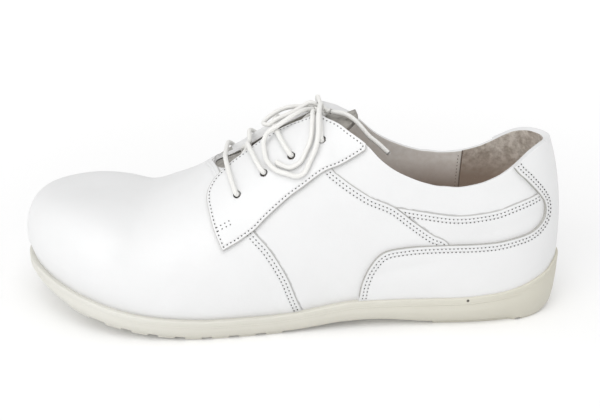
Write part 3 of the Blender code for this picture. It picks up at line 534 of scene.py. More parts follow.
def lap_height(lap):
    """How far an overlap stands out: a cut edge, a rounded shoulder, then a long fade."""
    edge = np.interp(lap, (0, EDGE_WIDTH, EDGE_SOFT), (0, 0.8, 1))
    fade = np.clip((lap - FADE_START) / FADE_LENGTH, 0, 1)
    return edge * (1 - fade * fade * (3 - 2 * fade))


def crease_depth(points):
    """Depth of the soft troughs at each point."""
    depth = np.zeros(len(points))
    for *ends, deep, wide in CREASES:
        for side in (LATERAL, MEDIAL):
            line = seam_line(((ends[0], ends[1]), (ends[2], ends[3])), side, 8)
            depth += deep * np.exp(-(distance_to_line(points, line) / wide) ** 2)
    return depth


def waves(points):
    """Slow unevenness of lasted leather."""
    return np.array([noise.noise(Vector(point) / WAVE_LENGTH) for point in points]) * WAVE


def spread(low, high, spacing):
    """Shares from low up to high, without high, about a spacing apart."""
    return list(np.linspace(low, high, max(2, round((high - low) * LENGTH / spacing)), endpoint=False))


@lru_cache(maxsize=None)
def stations(spacing):
    """Every half section once round the shoe, as pairs of side and share along."""
    fan = 0.62          # the toe and the heel are longer round their edge than along the sole
    heel = spread(0, HEEL_CENTRE, spacing * fan)
    front = [THROAT_ROUND + (THROAT_FRONT - THROAT_ROUND) * math.sin(turn)
             for turn in np.linspace(0, math.pi / 2, 12, endpoint=False)]
    flanks = spread(HEEL_CENTRE, THROAT_ROUND, spacing) + front + spread(THROAT_FRONT, TOE_CENTRE, spacing)
    toe = spread(TOE_CENTRE, 1, spacing * fan) + [1.0]
    lateral = [(LATERAL, along) for along in heel + flanks + toe]
    medial = [(MEDIAL, along) for along in reversed(heel[1:] + flanks + toe[:-1])]
    return lateral + medial


def leather_sheet(rows, closed=False):
    """A sheet through rows of side, along and rise. Each point keeps its along and rise."""
    mesh = bmesh.new()
    along_layer = mesh.verts.layers.float.new("along")
    rise_layer = mesh.verts.layers.float.new("rise")
    grid = []
    for row in rows:
        line = []
        for side, along, rise in row:
            vert = mesh.verts.new(last_point(side, along, rise))
            vert[along_layer] = along
            vert[rise_layer] = rise
            line.append(vert)
        grid.append(line)
    count = len(grid)
    for i in range(count if closed else count - 1):
        first, second = grid[i], grid[(i + 1) % count]
        for j in range(len(first) - 1):
            mesh.faces.new((first[j], second[j], second[j + 1], first[j + 1]))
    bmesh.ops.remove_doubles(mesh, verts=mesh.verts, dist=MERGE)
    bmesh.ops.recalc_face_normals(mesh, faces=mesh.faces)
    face_outwards(mesh)
    return mesh


def face_outwards(mesh):
    """Turns a sheet so that it faces away from the foot."""
    mesh.normal_update()
    total = 0.0
    for face in mesh.faces:
        middle = face.calc_center_median()
        core = min(max(middle.x, (HEEL_CENTRE - 0.5) * LENGTH), (TOE_CENTRE - 0.5) * LENGTH)
        total += face.normal.dot(middle - Vector((core, 0, SOLE_HEIGHT))) * face.calc_area()
    if total < 0:
        bmesh.ops.reverse_faces(mesh, faces=mesh.faces)
    mesh.normal_update()


def read_sheet(mesh):
    """Places, alongs and rises of a sheet's points."""
    mesh.verts.index_update()
    along_layer = mesh.verts.layers.float["along"]
    rise_layer = mesh.verts.layers.float["rise"]
    points = np.array([vert.co for vert in mesh.verts])
    along = np.array([vert[along_layer] for vert in mesh.verts])
    rise = np.array([vert[rise_layer] for vert in mesh.verts])
    return points, along, rise


def cut_line(mesh, lap, level):
    """Adds a line of edges to a sheet where a lap has one value, so that a step can follow it."""
    snap = 0.00004
    along_layer = mesh.verts.layers.float["along"]
    rise_layer = mesh.verts.layers.float["rise"]
    values = lap(*read_sheet(mesh)) - level
    values[np.abs(values) < snap] = 0
    line = [vert for vert, value in zip(mesh.verts, values) if value == 0]
    for edge in list(mesh.edges):
        a, b = edge.verts
        value_a, value_b = values[a.index], values[b.index]
        if value_a * value_b < 0 and abs(value_a - value_b) < 2 * edge.calc_length():
            share = value_a / (value_a - value_b)
            along = a[along_layer] + (b[along_layer] - a[along_layer]) * share
            rise = a[rise_layer] + (b[rise_layer] - a[rise_layer]) * share
            place = a.co.lerp(b.co, share)
            vert = bmesh.utils.edge_split(edge, a, share)[1]
            vert.co = place
            vert[along_layer] = along
            vert[rise_layer] = rise
            line.append(vert)
    bmesh.ops.connect_verts(mesh, verts=line)


def wall(mesh, inner, outer, over, inner_slot=0, rim_slot=0):
    """A closed wall on a sheet, between two distances from it at each point.

    Over is kept on the outside as the distance from the piece's cut edge. The rim gets a bevel.
    """
    mesh.normal_update()
    mesh.verts.index_update()
    shell = bmesh.new()
    over_layer = shell.verts.layers.float.new("over")
    round_layer = shell.edges.layers.float.new("bevel_weight_edge")
    tops = []
    bottoms = []
    for vert in mesh.verts:
        top = shell.verts.new(vert.co + vert.normal * outer[vert.index])
        bottom = shell.verts.new(vert.co + vert.normal * inner[vert.index])
        top[over_layer] = over[vert.index]
        bottom[over_layer] = FAR
        tops.append(top)
        bottoms.append(bottom)
    for face in mesh.faces:
        shell.faces.new([tops[vert.index] for vert in face.verts])
        inside = shell.faces.new([bottoms[vert.index] for vert in reversed(face.verts)])
        inside.material_index = inner_slot(face) if callable(inner_slot) else inner_slot
    for edge in mesh.edges:
        if edge.is_boundary:
            a, b = edge.verts
            rim = shell.faces.new((tops[a.index], tops[b.index], bottoms[b.index], bottoms[a.index]))
            rim.material_index = rim_slot(edge) if callable(rim_slot) else rim_slot
            for ends in ((tops[a.index], tops[b.index]), (bottoms[a.index], bottoms[b.index])):
                shell.edges.get(ends)[round_layer] = 1.0
    bmesh.ops.recalc_face_normals(shell, faces=shell.faces)
    mesh.free()
    return shell


def make_piece(name, mesh, *finishes):
    """A named piece from a mesh, with its finishes in the order of the mesh's slots."""
    data = bpy.data.meshes.new(name)
    mesh.to_mesh(data)
    mesh.free()
    for finish in finishes:
        data.materials.append(finish)
    piece = bpy.data.objects.new(name, data)
    bpy.context.scene.collection.objects.link(piece)
    return piece


def round_rims(piece, width):
    """Rounds the edges that carry a bevel weight."""
    change = piece.modifiers.new("rounded rims", "BEVEL")
    change.limit_method = "WEIGHT"
    change.width = width
    change.segments = 3


def cut_with(piece, tool, operation="DIFFERENCE"):
    """Cuts a tool out of a piece, or joins it on."""
    change = piece.modifiers.new(operation.lower(), "BOOLEAN")
    change.operation = operation
    change.object = tool


def settle(piece, *tools):
    """Makes a piece's modifiers part of its mesh, and clears away the tools that cut it."""
    view = bpy.context.evaluated_depsgraph_get()
    mesh = bpy.data.meshes.new_from_object(piece.evaluated_get(view))
    piece.modifiers.clear()
    piece.data = mesh
    mesh.shade_smooth()
    mesh.set_sharp_from_angle(angle=math.radians(42))
    for tool in tools:
        bpy.data.objects.remove(tool)


def put_on_shoe(piece, slot, *nodes):
    """The piece goes with the shoe, in place of its plain solids."""
    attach(piece, "root")
    if nodes:
        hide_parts(*nodes)


def punches(name):
    """Punches for the eyelets of both sides."""
    mesh = bmesh.new()
    for side in (LATERAL, MEDIAL):
        for along, rise in EYELETS:
            turn = last_normal(side, along, rise).to_track_quat("Z", "Y").to_matrix().to_4x4()
            place = Matrix.Translation(last_point(side, along, rise)) @ turn
            bmesh.ops.create_cone(
                mesh, cap_ends=True, segments=28,
                radius1=EYELET / 2, radius2=EYELET / 2, depth=PUNCH_LENGTH, matrix=place)
    return make_piece(name, mesh)


def set_input(tree, socket, value):
    """Links a socket to another node's output, or sets its value."""
    if isinstance(value, bpy.types.NodeSocket):
        tree.links.new(value, socket)
    else:
        socket.default_value = value


def add_node(tree, kind, operation=None, **inputs):
    """A node in a tree. An input is given by name, or as in0, in1 and so on by its place."""
    node = tree.nodes.new(kind)
    if operation:
        node.operation = operation
    for name, value in inputs.items():
        numbered = name.startswith("in") and name[2:].isdigit()
        set_input(tree, node.inputs[int(name[2:]) if numbered else name.replace("_", " ")], value)
    return node


def calculate(tree, operation, *values):
    """The result of a sum on numbers and on other nodes' outputs."""
    inputs = {"in%d" % place: value for place, value in enumerate(values)}
    return add_node(tree, "ShaderNodeMath", operation, **inputs).outputs[0]


def ramp(tree, value, low, high, start, end):
    """A value that runs from start to end while another runs from low to high."""
    limits = {"From_Min": low, "From_Max": high, "To_Min": start, "To_Max": end}
    return add_node(tree, "ShaderNodeMapRange", Value=value, **limits).outputs["Result"]


class Finish:
    """A material under construction: a Principled shader, and short ways to add nodes to it."""

    def __init__(self, name, **values):
        self.material = bpy.data.materials.new(name)
        self.material.use_nodes = True
        self.tree = self.material.node_tree
        self.shader = self.tree.nodes["Principled BSDF"]
        for word, value in values.items():
            self.shader.inputs[word.replace("_", " ").title().replace("Ior", "IOR")].default_value = value

    def node(self, kind, operation=None, **inputs):
        """A node, with its inputs set to values or linked to other nodes' outputs."""
        return add_node(self.tree, kind, operation, **inputs)

    def place(self):
        """Where a point of the piece lies."""
        return self.node("ShaderNodeTexCoord").outputs["Object"]

    def axes(self):
        """Where a point of the piece lies, as three numbers."""
        return self.node("ShaderNodeSeparateXYZ", Vector=self.place()).outputs

    def cloud(self, per_metre, detail, roughness=0.5):
        """Uneven patches, from 0 to 1."""
        inputs = {"Scale": per_metre, "Detail": detail, "Roughness": roughness}
        return self.node("ShaderNodeTexNoise", Vector=self.place(), **inputs).outputs["Fac"]

    def feed(self, socket, output):
        """Links an output to one of the shader's own sockets."""
        self.tree.links.new(output, self.shader.inputs[socket])

    def bump(self, height, depth, normal=None):
        """Relief of a depth in metres."""
        node = self.node("ShaderNodeBump", Height=height, Distance=depth, Strength=1.0)
        if normal:
            self.tree.links.new(normal, node.inputs["Normal"])
        self.feed("Normal", node.outputs["Normal"])
        return node.outputs["Normal"]


def shader_group(name, inputs, outputs):
    """An empty shader group with named float inputs and outputs."""
    tree = bpy.data.node_groups.new(name, "ShaderNodeTree")
    for word, value in inputs.items():
        tree.interface.new_socket(word, in_out="INPUT", socket_type="NodeSocketFloat").default_value = value
    for word in outputs:
        tree.interface.new_socket(word, in_out="OUTPUT", socket_type="NodeSocketFloat")
    return tree, tree.nodes.new("NodeGroupInput").outputs, tree.nodes.new("NodeGroupOutput").inputs


def grain_group():
    """Grain of leather: rounded pebbles with fine pores, and a slow change of tone."""
    tree, given, result = shader_group("leather grain", {"Pebble Size": 0.0008}, ("Height", "Tone"))
    place = add_node(tree, "ShaderNodeTexCoord").outputs["Object"]
    per_metre = calculate(tree, "DIVIDE", 1.0, given["Pebble Size"])
    fine = add_node(tree, "ShaderNodeVectorMath", "SCALE", in0=place, Scale=per_metre).outputs[0]
    pebbles = add_node(tree, "ShaderNodeTexVoronoi", Vector=fine, Scale=1.0, Randomness=0.95)
    pebbles.feature = "SMOOTH_F1"
    pores = add_node(tree, "ShaderNodeTexNoise", Vector=fine, Scale=3.1, Detail=2.0).outputs["Fac"]
    pores = calculate(tree, "MULTIPLY", pores, PORE_DEPTH)
    tree.links.new(calculate(tree, "SUBTRACT", pores, pebbles.outputs["Distance"]), result["Height"])
    tone = add_node(tree, "ShaderNodeTexNoise", Vector=place, Scale=45.0, Detail=4.0, Roughness=0.6)
    tree.links.new(tone.outputs["Fac"], result["Tone"])
    return tree


def seam_group():
    """Marks along a cut edge: the grey of the raw edge itself with painted shade at its foot, and the dents
    that rows of stitches pull in.
    """
    rows = {"Distance": 1.0, "First Row": FIRST_ROW, "Second Row": SECOND_ROW}
    tree, given, result = shader_group("seam marks", rows, ("Edge And Shade", "Dent"))
    tree.links.new(ramp(tree, given["Distance"], *EDGE_AND_SHADE_MARK, 1.0, 0.0), result["Edge And Shade"])
    dents = []
    for row in ("First Row", "Second Row"):
        off = calculate(tree, "SUBTRACT", given["Distance"], given[row])
        share = calculate(tree, "DIVIDE", off, DENT_WIDTH)
        square = calculate(tree, "MULTIPLY", share, share)
        dents.append(calculate(tree, "EXPONENT", calculate(tree, "MULTIPLY", square, -1.0)))
    tree.links.new(calculate(tree, "ADD", *dents), result["Dent"])
    return tree


PORE_DEPTH = 0.35       # of a pore, as a share of a pebble's height
# The grey band near a cut edge also paints the shade at the foot of each lapped step.
EDGE_AND_SHADE_MARK = (0.00010, 0.00048)  # how far in a cut edge's grey starts to fade, and where it is gone
DENT_WIDTH = 0.00045
GRAIN = grain_group()
SEAM_MARKS = seam_group()
WHITE = (0.80, 0.802, 0.805, 1)
WHITE_WORN = (0.755, 0.757, 0.757, 1)
# Grey of the raw cut edges, also used as painted shade at the foot of each lapped step
CUT_EDGE_AND_SHADE = (0.48, 0.475, 0.46, 1)
LINING_SEAM_X = (LINING_SEAM - 0.5) * LENGTH
LINING_SEAM_SHADE = (0.22, 0.18, 0.15, 1)
LINING_SEAM_HALF = 0.0004
MOTTLE = (0.36, 0.62)   # the range of the clouds that runs from a lining's dark colour to its light one


def add_group(finish, tree, **inputs):
    """A copy of a shared group in a finish."""
    node = finish.tree.nodes.new("ShaderNodeGroup")
    node.node_tree = tree
    for name, value in inputs.items():
        set_input(finish.tree, node.inputs[name.replace("_", " ")], value)
    return node.outputs


def mix_colors(finish, share, first, second):
    """A colour between two others."""
    node = finish.tree.nodes.new("ShaderNodeMix")
    node.data_type = "RGBA"
    for place, value in ((0, share), (6, first), (7, second)):
        set_input(finish.tree, node.inputs[place], value)
    return node.outputs[2]


def white_leather(name, first_row, second_row):
    """Smooth white leather: a fine grain, grey cut edges with painted shade at the foot of each step, and
    dents under the stitches.
    """
    finish = Finish(name, coat_weight=0.08, coat_roughness=0.35)
    grain = add_group(finish, GRAIN, Pebble_Size=0.00075)
    over = finish.node("ShaderNodeAttribute")
    over.attribute_name = "over"
    distance = over.outputs["Fac"]
    marks = add_group(finish, SEAM_MARKS, Distance=distance, First_Row=first_row, Second_Row=second_row)
    white = mix_colors(finish, grain["Tone"], WHITE, WHITE_WORN)
    # Painted shade: the grey spreads onto the piece below, at the foot of each step.
    finish.feed("Base Color", mix_colors(finish, marks["Edge And Shade"], white, CUT_EDGE_AND_SHADE))
    finish.feed("Roughness", ramp(finish.tree, grain["Tone"], 0.0, 1.0, 0.36, 0.50))
    relief = finish.bump(grain["Height"], 0.000035)
    finish.bump(calculate(finish.tree, "MULTIPLY", marks["Dent"], -1.0), 0.00022, relief)
    return finish.material


def raw_edge_and_shade():
    """The cut edge of leather: grey fibres, dark enough to paint in the shade along an overlay's edge as
    well.
    """
    finish = Finish("raw leather edge", roughness=0.9)
    fibres = finish.cloud(1400.0, 3.0)
    # Painted shade: the darker of these greys stands for the shade along the overlays' edges.
    finish.feed("Base Color", mix_colors(finish, fibres, (0.26, 0.255, 0.24, 1), (0.58, 0.57, 0.54, 1)))
    finish.bump(fibres, 0.0002)
    return finish.material


def lining(name, light, dark, nap, low=None):
    """Lining leather. Nap is the depth of its surface: small on smooth leather, deep on suede.

    Low is a darker colour painted low inside the shoe as shade, with the heights up to which it is full and
    where it is gone.
    """
    finish = Finish(name, roughness=0.85, sheen_weight=0.25, sheen_roughness=0.5)
    mottle = ramp(finish.tree, finish.cloud(260.0, 5.0, 0.65), *MOTTLE, 0.0, 1.0)
    color = mix_colors(finish, mottle, dark, light)
    if low:
        # Painted shade: the lining darkens deep inside the shoe, below the given heights.
        deep_shade, full, gone = low
        axes = finish.axes()
        color = mix_colors(finish, ramp(finish.tree, axes["Z"], full, gone, 0.0, 1.0), deep_shade, color)
        seam = calculate(finish.tree, "COMPARE", axes["X"], LINING_SEAM_X, LINING_SEAM_HALF)
        color = mix_colors(finish, seam, color, LINING_SEAM_SHADE)
    finish.feed("Base Color", color)
    finish.bump(finish.cloud(1500.0, 3.0, 0.7), nap)
    return finish.material


def upper_sheet():
    """The outside of the upper, cut into lines where its seams run."""
    rows = []
    for side, along in stations(SKIN_STEP):
        top = edge_rise(side, along)
        rows.append([(side, along, top * k / SKIN_ROWS) for k in range(SKIN_ROWS + 1)])
    mesh = leather_sheet(rows, closed=True)
    for lap in (vamp_lap, side_lap, collar_lap, lining_lap):
        for level in (-EDGE_WIDTH, 0.0, EDGE_WIDTH, EDGE_SOFT):
            cut_line(mesh, lap, level)
    for vert in mesh.verts:
        if vert[mesh.verts.layers.float["rise"]] <= 0:
            vert.co.z -= FOOT_TUCK
    return mesh


def upper_heights(points, along, rise):
    """How far the outside of the leather stands off the last, and the distance from its cut edges."""
    laps = [lap(points, along, rise) for lap in (vamp_lap, side_lap, collar_lap)]
    height = sum(lap_height(lap) for lap in laps) * SEAM_STEP
    over = np.min([np.where(lap >= -EDGE_WIDTH * 1.02, np.abs(lap), FAR) for lap in laps], axis=0)
    return height + waves(points) - crease_depth(points), over


skin = upper_sheet()
skin_points, skin_along, skin_rise = read_sheet(skin)
skin_height, skin_over = upper_heights(skin_points, skin_along, skin_rise)
skin_inside = -WALL - lap_height(lining_lap(skin_points, skin_along, skin_rise)) * LINING_STEP
skin_along_layer = skin.verts.layers.float["along"]


def lining_slot(face):
    """Slot 1 is the smooth lining, and slot 2 the heel's suede."""
    middle = sum(vert[skin_along_layer] for vert in face.verts) / len(face.verts)
    return 1 if middle > LINING_SEAM else 2


shell = wall(skin, skin_inside, skin_height, skin_over, lining_slot)
upper = make_piece(
    "upper_leather", shell,
    white_leather("white leather upper", FIRST_ROW, SECOND_ROW),
    # The low colours of both linings are painted shade deep inside the shoe.
    lining(
        "smooth lining", (0.95, 0.93, 0.89, 1), (0.87, 0.84, 0.79, 1), 0.00006,
        ((0.30, 0.22, 0.17, 1), 0.050, 0.070)),
    lining(
        "suede heel lining", (0.80, 0.75, 0.68, 1), (0.42, 0.36, 0.30, 1), 0.00035,
        ((0.38, 0.30, 0.24, 1), 0.060, 0.078)),
)
round_rims(upper, RIM_ROUND)
upper_punches = punches("upper punches")
cut_with(upper, upper_punches)
settle(upper, upper_punches)
put_on_shoe(upper, "white_leather", "upper")

# Facings
# Panels of the same leather with four punched eyelets each. They lie over vamp and quarters, their
# edges are cut raw, and one row of stitches runs round inside the edge.
# Facing, from its front corner to its back corner. Each row is a point of its lower edge and one of its
# upper edge, as a share along the sole and a share of the way from the feather line to the ridge.
# Where the last number is EDGE, the facing ends on the upper's own edge.
EDGE = 1.0
FACING = (
    (0.621, 0.320, 0.624, 0.328),
    (0.611, 0.329, 0.638, 0.440),
    (0.598, 0.338, 0.647, 0.560),
    (0.583, 0.351, 0.650, 0.625),
    (0.567, 0.366, 0.648, 0.678),
    (0.552, 0.390, 0.639, 0.735),
    (0.539, 0.408, 0.626, 0.772),
    (0.526, 0.423, 0.606, EDGE),
    (0.508, 0.441, 0.578, EDGE),
    (0.488, 0.455, 0.545, EDGE),
    (0.466, 0.469, 0.512, EDGE),
    (0.446, 0.482, 0.482, EDGE),
    (0.428, 0.493, 0.455, EDGE),
    (0.410, 0.504, 0.425, EDGE),
    (0.393, 0.514, 0.400, EDGE),
    (0.380, 0.522, 0.379, EDGE),
)
# Counter, from its foot to the collar. Each row is a point of its seam and one at the back of the heel.
COUNTER_FOOT = 0.0
COUNTER = (
    (0.386, COUNTER_FOOT, 0.380, COUNTER_FOOT),
    (0.381, 0.045, 0.335, COUNTER_FOOT),
    (0.368, 0.092, 0.288, COUNTER_FOOT),
    (0.346, 0.131, 0.243, COUNTER_FOOT),
    (0.306, 0.146, 0.200, COUNTER_FOOT),
    (0.258, 0.156, 0.158, COUNTER_FOOT),
    (0.208, 0.163, 0.118, COUNTER_FOOT),
    (0.158, 0.169, 0.080, COUNTER_FOOT),
    (0.118, 0.174, 0.042, COUNTER_FOOT),
    (0.086, 0.178, 0.000, COUNTER_FOOT),
    (0.067, 0.196, 0.000, 0.085),
    (0.060, 0.225, 0.000, 0.165),
    (0.062, 0.262, 0.000, 0.245),
    (0.072, 0.302, 0.000, 0.320),
    (0.084, 0.338, 0.000, 0.390),
    (0.097, 0.372, 0.000, EDGE),
    (0.110, 0.400, 0.055, EDGE),
    (0.120, EDGE, 0.100, EDGE),
)
OVERLAY_TOP = 0.0021    # outside of the facings above the last, with the lining below them
COUNTER_TOP = 0.0016
OVERLAY_SINK = 0.00035  # the overlays bear on the leather below, so no gap shows
OVERLAY_SPLIT = 6
OVERLAY_STEPS = 24
OVERLAY_ROUND = 0.00055
RAW_FROM = 0.001        # rise from which an overlay's edge is cut raw, and how far below the upper's
RAW_TO = 0.004          # own edge that ends
FACING_ROW = 0.0014     # the facing's one stitch row, in from its edge


def on_edge(side, along, rise):
    """The rise itself, or the upper's own edge where a table says EDGE."""
    if rise == EDGE:
        return edge_rise(side, along)
    return rise


def overlay_sheet(side, table):
    """The sheet of an overlay on one side, between its first edge and its second."""
    numbers = []
    for first_along, first_rise, second_along, second_rise in table:
        numbers.append((
            first_along, on_edge(side, first_along, first_rise),
            second_along, on_edge(side, second_along, second_rise),
        ))
    rows = []
    for i, values in enumerate(catmull(numbers, OVERLAY_SPLIT)):
        before = table[min(i // OVERLAY_SPLIT, len(table) - 1)]
        after = table[min(i // OVERLAY_SPLIT + 1, len(table) - 1)]
        first_along, first_rise, second_along, second_rise = values
        if before[1] == EDGE and after[1] == EDGE:
            first_rise = edge_rise(side, first_along)
        if before[3] == EDGE and after[3] == EDGE:
            second_rise = edge_rise(side, second_along)
        row = []
        for t in np.linspace(0, 1, OVERLAY_STEPS + 1):
            along = first_along + (second_along - first_along) * t
            row.append((side, max(along, 0.0), max(first_rise + (second_rise - first_rise) * t, 0.0)))
        rows.append(row)
    return rows


def edge_loop(mesh):
    """The points round the edge of a sheet, in order, with the sheet's own normals there."""
    start = next(edge for edge in mesh.edges if edge.is_boundary)
    first, vert = start.verts
    loop = [first]
    edge = start
    while vert != first:
        loop.append(vert)
        edge = next(other for other in vert.link_edges if other.is_boundary and other != edge)
        vert = edge.other_vert(vert)
    return [(vert.co.copy(), vert.normal.copy()) for vert in loop]


def cut_edges(mesh):
    """The edges of an overlay that are cut raw: all but those at the upper's own edge and at the sole."""
    along_layer = mesh.verts.layers.float["along"]
    rise_layer = mesh.verts.layers.float["rise"]

    def raw(vert):
        top = edge_rise(LATERAL if vert.co.y > 0 else MEDIAL, vert[along_layer])
        return RAW_FROM < vert[rise_layer] < top - RAW_TO

    return {edge for edge in mesh.edges if edge.is_boundary and raw(edge.verts[0]) and raw(edge.verts[1])}


def overlay_piece(name, mesh, top, finish, edge_finish):
    """The leather of an overlay, with cut edges that are rounded on top."""
    mesh.normal_update()
    points = read_sheet(mesh)[0]
    raw = cut_edges(mesh)
    over = np.full(len(points), FAR)
    for edge in raw:
        over = np.minimum(over, distance_to_line(points, [np.array(vert.co) for vert in edge.verts]))
    outer = top + waves(points) - crease_depth(points)
    inner = -np.full(len(points), OVERLAY_SINK)
    shell = wall(mesh, inner, outer, over, rim_slot=lambda edge: int(edge in raw))
    piece = make_piece(name, shell, finish, edge_finish)
    round_rims(piece, OVERLAY_ROUND)
    return piece


RAW_EDGE_AND_SHADE = raw_edge_and_shade()
overlay_edges = {}
facing_leather = white_leather("white leather facing", FACING_ROW, 1.0)
for side, word in ((LATERAL, "lateral"), (MEDIAL, "medial")):
    sheet = leather_sheet(overlay_sheet(side, FACING))
    overlay_edges[word] = edge_loop(sheet)
    facing = overlay_piece("facing_%s_leather" % word, sheet, OVERLAY_TOP, facing_leather, RAW_EDGE_AND_SHADE)
    facing_punches = punches("facing punches")
    cut_with(facing, facing_punches)
    settle(facing, facing_punches)
    put_on_shoe(facing, "white_leather", "facing_" + word)

# Heel counter
# One piece of the same white leather that wraps the back of the heel from the sole to the collar,
# stitched over the quarters with two rows.


def counter_sheet():
    """Both sides of the counter, joined at the heel."""
    mesh = leather_sheet(overlay_sheet(LATERAL, COUNTER))
    other = leather_sheet(overlay_sheet(MEDIAL, COUNTER))
    data = bpy.data.meshes.new("counter half")
    other.to_mesh(data)
    other.free()
    mesh.from_mesh(data)
    bpy.data.meshes.remove(data)
    bmesh.ops.remove_doubles(mesh, verts=mesh.verts, dist=MERGE)
    bmesh.ops.recalc_face_normals(mesh, faces=mesh.faces)
    face_outwards(mesh)
    for vert in mesh.verts:
        if vert[mesh.verts.layers.float["rise"]] <= 0:
            vert.co.z -= FOOT_TUCK
    return mesh


counter = overlay_piece(
    "heel_counter_leather", counter_sheet(), COUNTER_TOP,
    white_leather("white leather counter", FIRST_ROW, SECOND_ROW), RAW_EDGE_AND_SHADE)
settle(counter)
put_on_shoe(counter, "white_leather", "heel_counter")

# Tongue
# A strip of grey suede with a raw edge, sewn under the vamp at its front and free at the back.
TONGUE = 0.0028
TONGUE_HALF_WIDTH = 0.0215
TONGUE_FRONT = 0.685
TONGUE_BACK = 0.403
TONGUE_STEPS = (56, 36)
TONGUE_ROUND = 0.0009
TONGUE_SWELL = 0.08     # share of its half width by which its middle is wider than its ends
TONGUE_CORNER = 0.10    # share of its length over which the back corners are rounded
TONGUE_TRIM = 0.35      # share of its half width that is gone at the very back
TONGUE_CREASES = (1.4, 1.6)     # how much closer and how much deeper its waves are than the upper's

# How far the tongue lies below the outside of the upper, in shares of WALL
TONGUE_DROP_COLUMNS = ("along", "drop")
TONGUE_DROP = (
    (0.403, 4.20),
    (0.450, 3.90),
    (0.520, 3.00),
    (0.600, 2.00),
    (0.640, 1.30),
    (0.660, 1.15),
    (0.685, 1.15),
)


def tongue_shell():
    """The tongue as a wall that follows the last below the throat, a little uneven from wear."""
    rows = []
    for along in np.linspace(TONGUE_FRONT, TONGUE_BACK, TONGUE_STEPS[0] + 1):
        back_share = (TONGUE_FRONT - along) / (TONGUE_FRONT - TONGUE_BACK)
        half_width = TONGUE_HALF_WIDTH * (1 - TONGUE_SWELL + TONGUE_SWELL * math.sin(math.pi * back_share))
        corner = max(0.0, (back_share - 1 + TONGUE_CORNER) / TONGUE_CORNER)
        half_width *= 1 - TONGUE_TRIM * corner**2
        row = []
        for share in np.linspace(-1, 1, TONGUE_STEPS[1] + 1):
            side = MEDIAL if share < 0 else LATERAL
            row.append((side, along, gap_rise(side, along, share * half_width)))
        rows.append(row)
    mesh = leather_sheet(rows)
    points, along, rise = read_sheet(mesh)
    places = points[:, 0] / LENGTH + 0.5
    top = np.array([-lookup(TONGUE_DROP, TONGUE_DROP_COLUMNS, "drop", place) * WALL for place in places])
    closer, deeper = TONGUE_CREASES
    top += waves(points * closer) * deeper
    return wall(mesh, top - TONGUE, top, np.full(len(points), FAR))


tongue = make_piece(
    "tongue_suede", tongue_shell(),
    lining("grey suede", (0.37, 0.35, 0.32, 1), (0.20, 0.19, 0.17, 1), 0.0003))
round_rims(tongue, TONGUE_ROUND)
settle(tongue)
put_on_shoe(tongue, "grey_suede", "tongue")

# Outsole
# One moulded unit of ivory rubber, cemented to the upper. It has a rim round its top edge, a fine
# groove below the rim, a rounded side wall, a heel block, and bars under the ball of the foot.
LIP = 0.0024
GROOVE = 0.0008         # its width
GROOVE_DEPTH = 0.0001
EDGE_ROUND = 0.0045
LUG_DEPTH = 0.0015
LUG_LENGTH = 0.0085
LUG_PITCH = 0.0134
LUG_COUNT = 8
LUG_INSET = 0.0006
LUG_ROOT = 0.0010
LUG_FIRST = 0.535
LUG_ROUND = 0.0005
HEEL_PADS = ((0.048, 0.093), (0.101, 0.248))
SOLE_STEP = 0.0026

# Underside of the sole above its lugs, in shares of SOLE_HEIGHT: heel round, arch and toe spring.
# Round is how far the bottom edge is drawn in, as a share of EDGE_ROUND.
UNDERSIDE_COLUMNS = ("along", "height", "round")
UNDERSIDE = (
    (0.000, 0.290, 0.25),
    (0.010, 0.130, 0.25),
    (0.024, 0.060, 0.25),
    (0.045, 0.015, 0.25),
    (0.070, 0.000, 0.25),
    (0.093, 0.000, 0.25),
    (0.106, 0.000, 0.75),
    (0.250, 0.000, 0.85),
    (0.273, 0.017, 0.80),
    (0.329, 0.073, 0.70),
    (0.374, 0.097, 0.55),
    (0.420, 0.087, 0.42),
    (0.455, 0.050, 0.35),
    (0.507, 0.010, 0.30),
    (0.550, 0.000, 0.30),
    (0.664, 0.000, 0.30),
    (0.700, 0.027, 0.30),
    (0.748, 0.070, 0.30),
    (0.804, 0.147, 0.30),
    (0.871, 0.277, 0.30),
    (0.916, 0.415, 0.30),
    (0.944, 0.505, 0.30),
    (0.969, 0.600, 0.30),
    (1.000, 0.715, 0.30),
)
# Side wall of the sole below its groove: depth as a share of what is left, inset as a share of
# EDGE_ROUND
SIDEWALL_COLUMNS = ("depth", "inset")
SIDEWALL = (
    (0.08, 0.10),
    (0.35, 0.02),
    (0.65, 0.22),
    (0.88, 0.60),
    (1.00, 1.00),
)


def sole_height(along):
    """Top of the sole, just below the upper."""
    return lookup(FEATHER, FEATHER_COLUMNS, "height", along) * SOLE_HEIGHT - GAP


def sole_underside(along):
    """Underside of the sole, where it has no lug."""
    return LUG_DEPTH + lookup(UNDERSIDE, UNDERSIDE_COLUMNS, "height", along) * SOLE_HEIGHT


def edge_round(side, along):
    """How far the bottom edge of the sole is drawn in at a half section."""
    return lookup(UNDERSIDE, UNDERSIDE_COLUMNS, "round", section(side, along)["foot"]) * EDGE_ROUND


def sole_point(side, along, inset, height_at):
    """A point on a half section of the sole, drawn in from its outline."""
    half = section(side, along)
    x, y = half["centre"] + half["direction"] * (half["sole_width"] - inset)
    return to_world(x, y, height_at(min(max(x / LENGTH, 0.0), 1.0)))


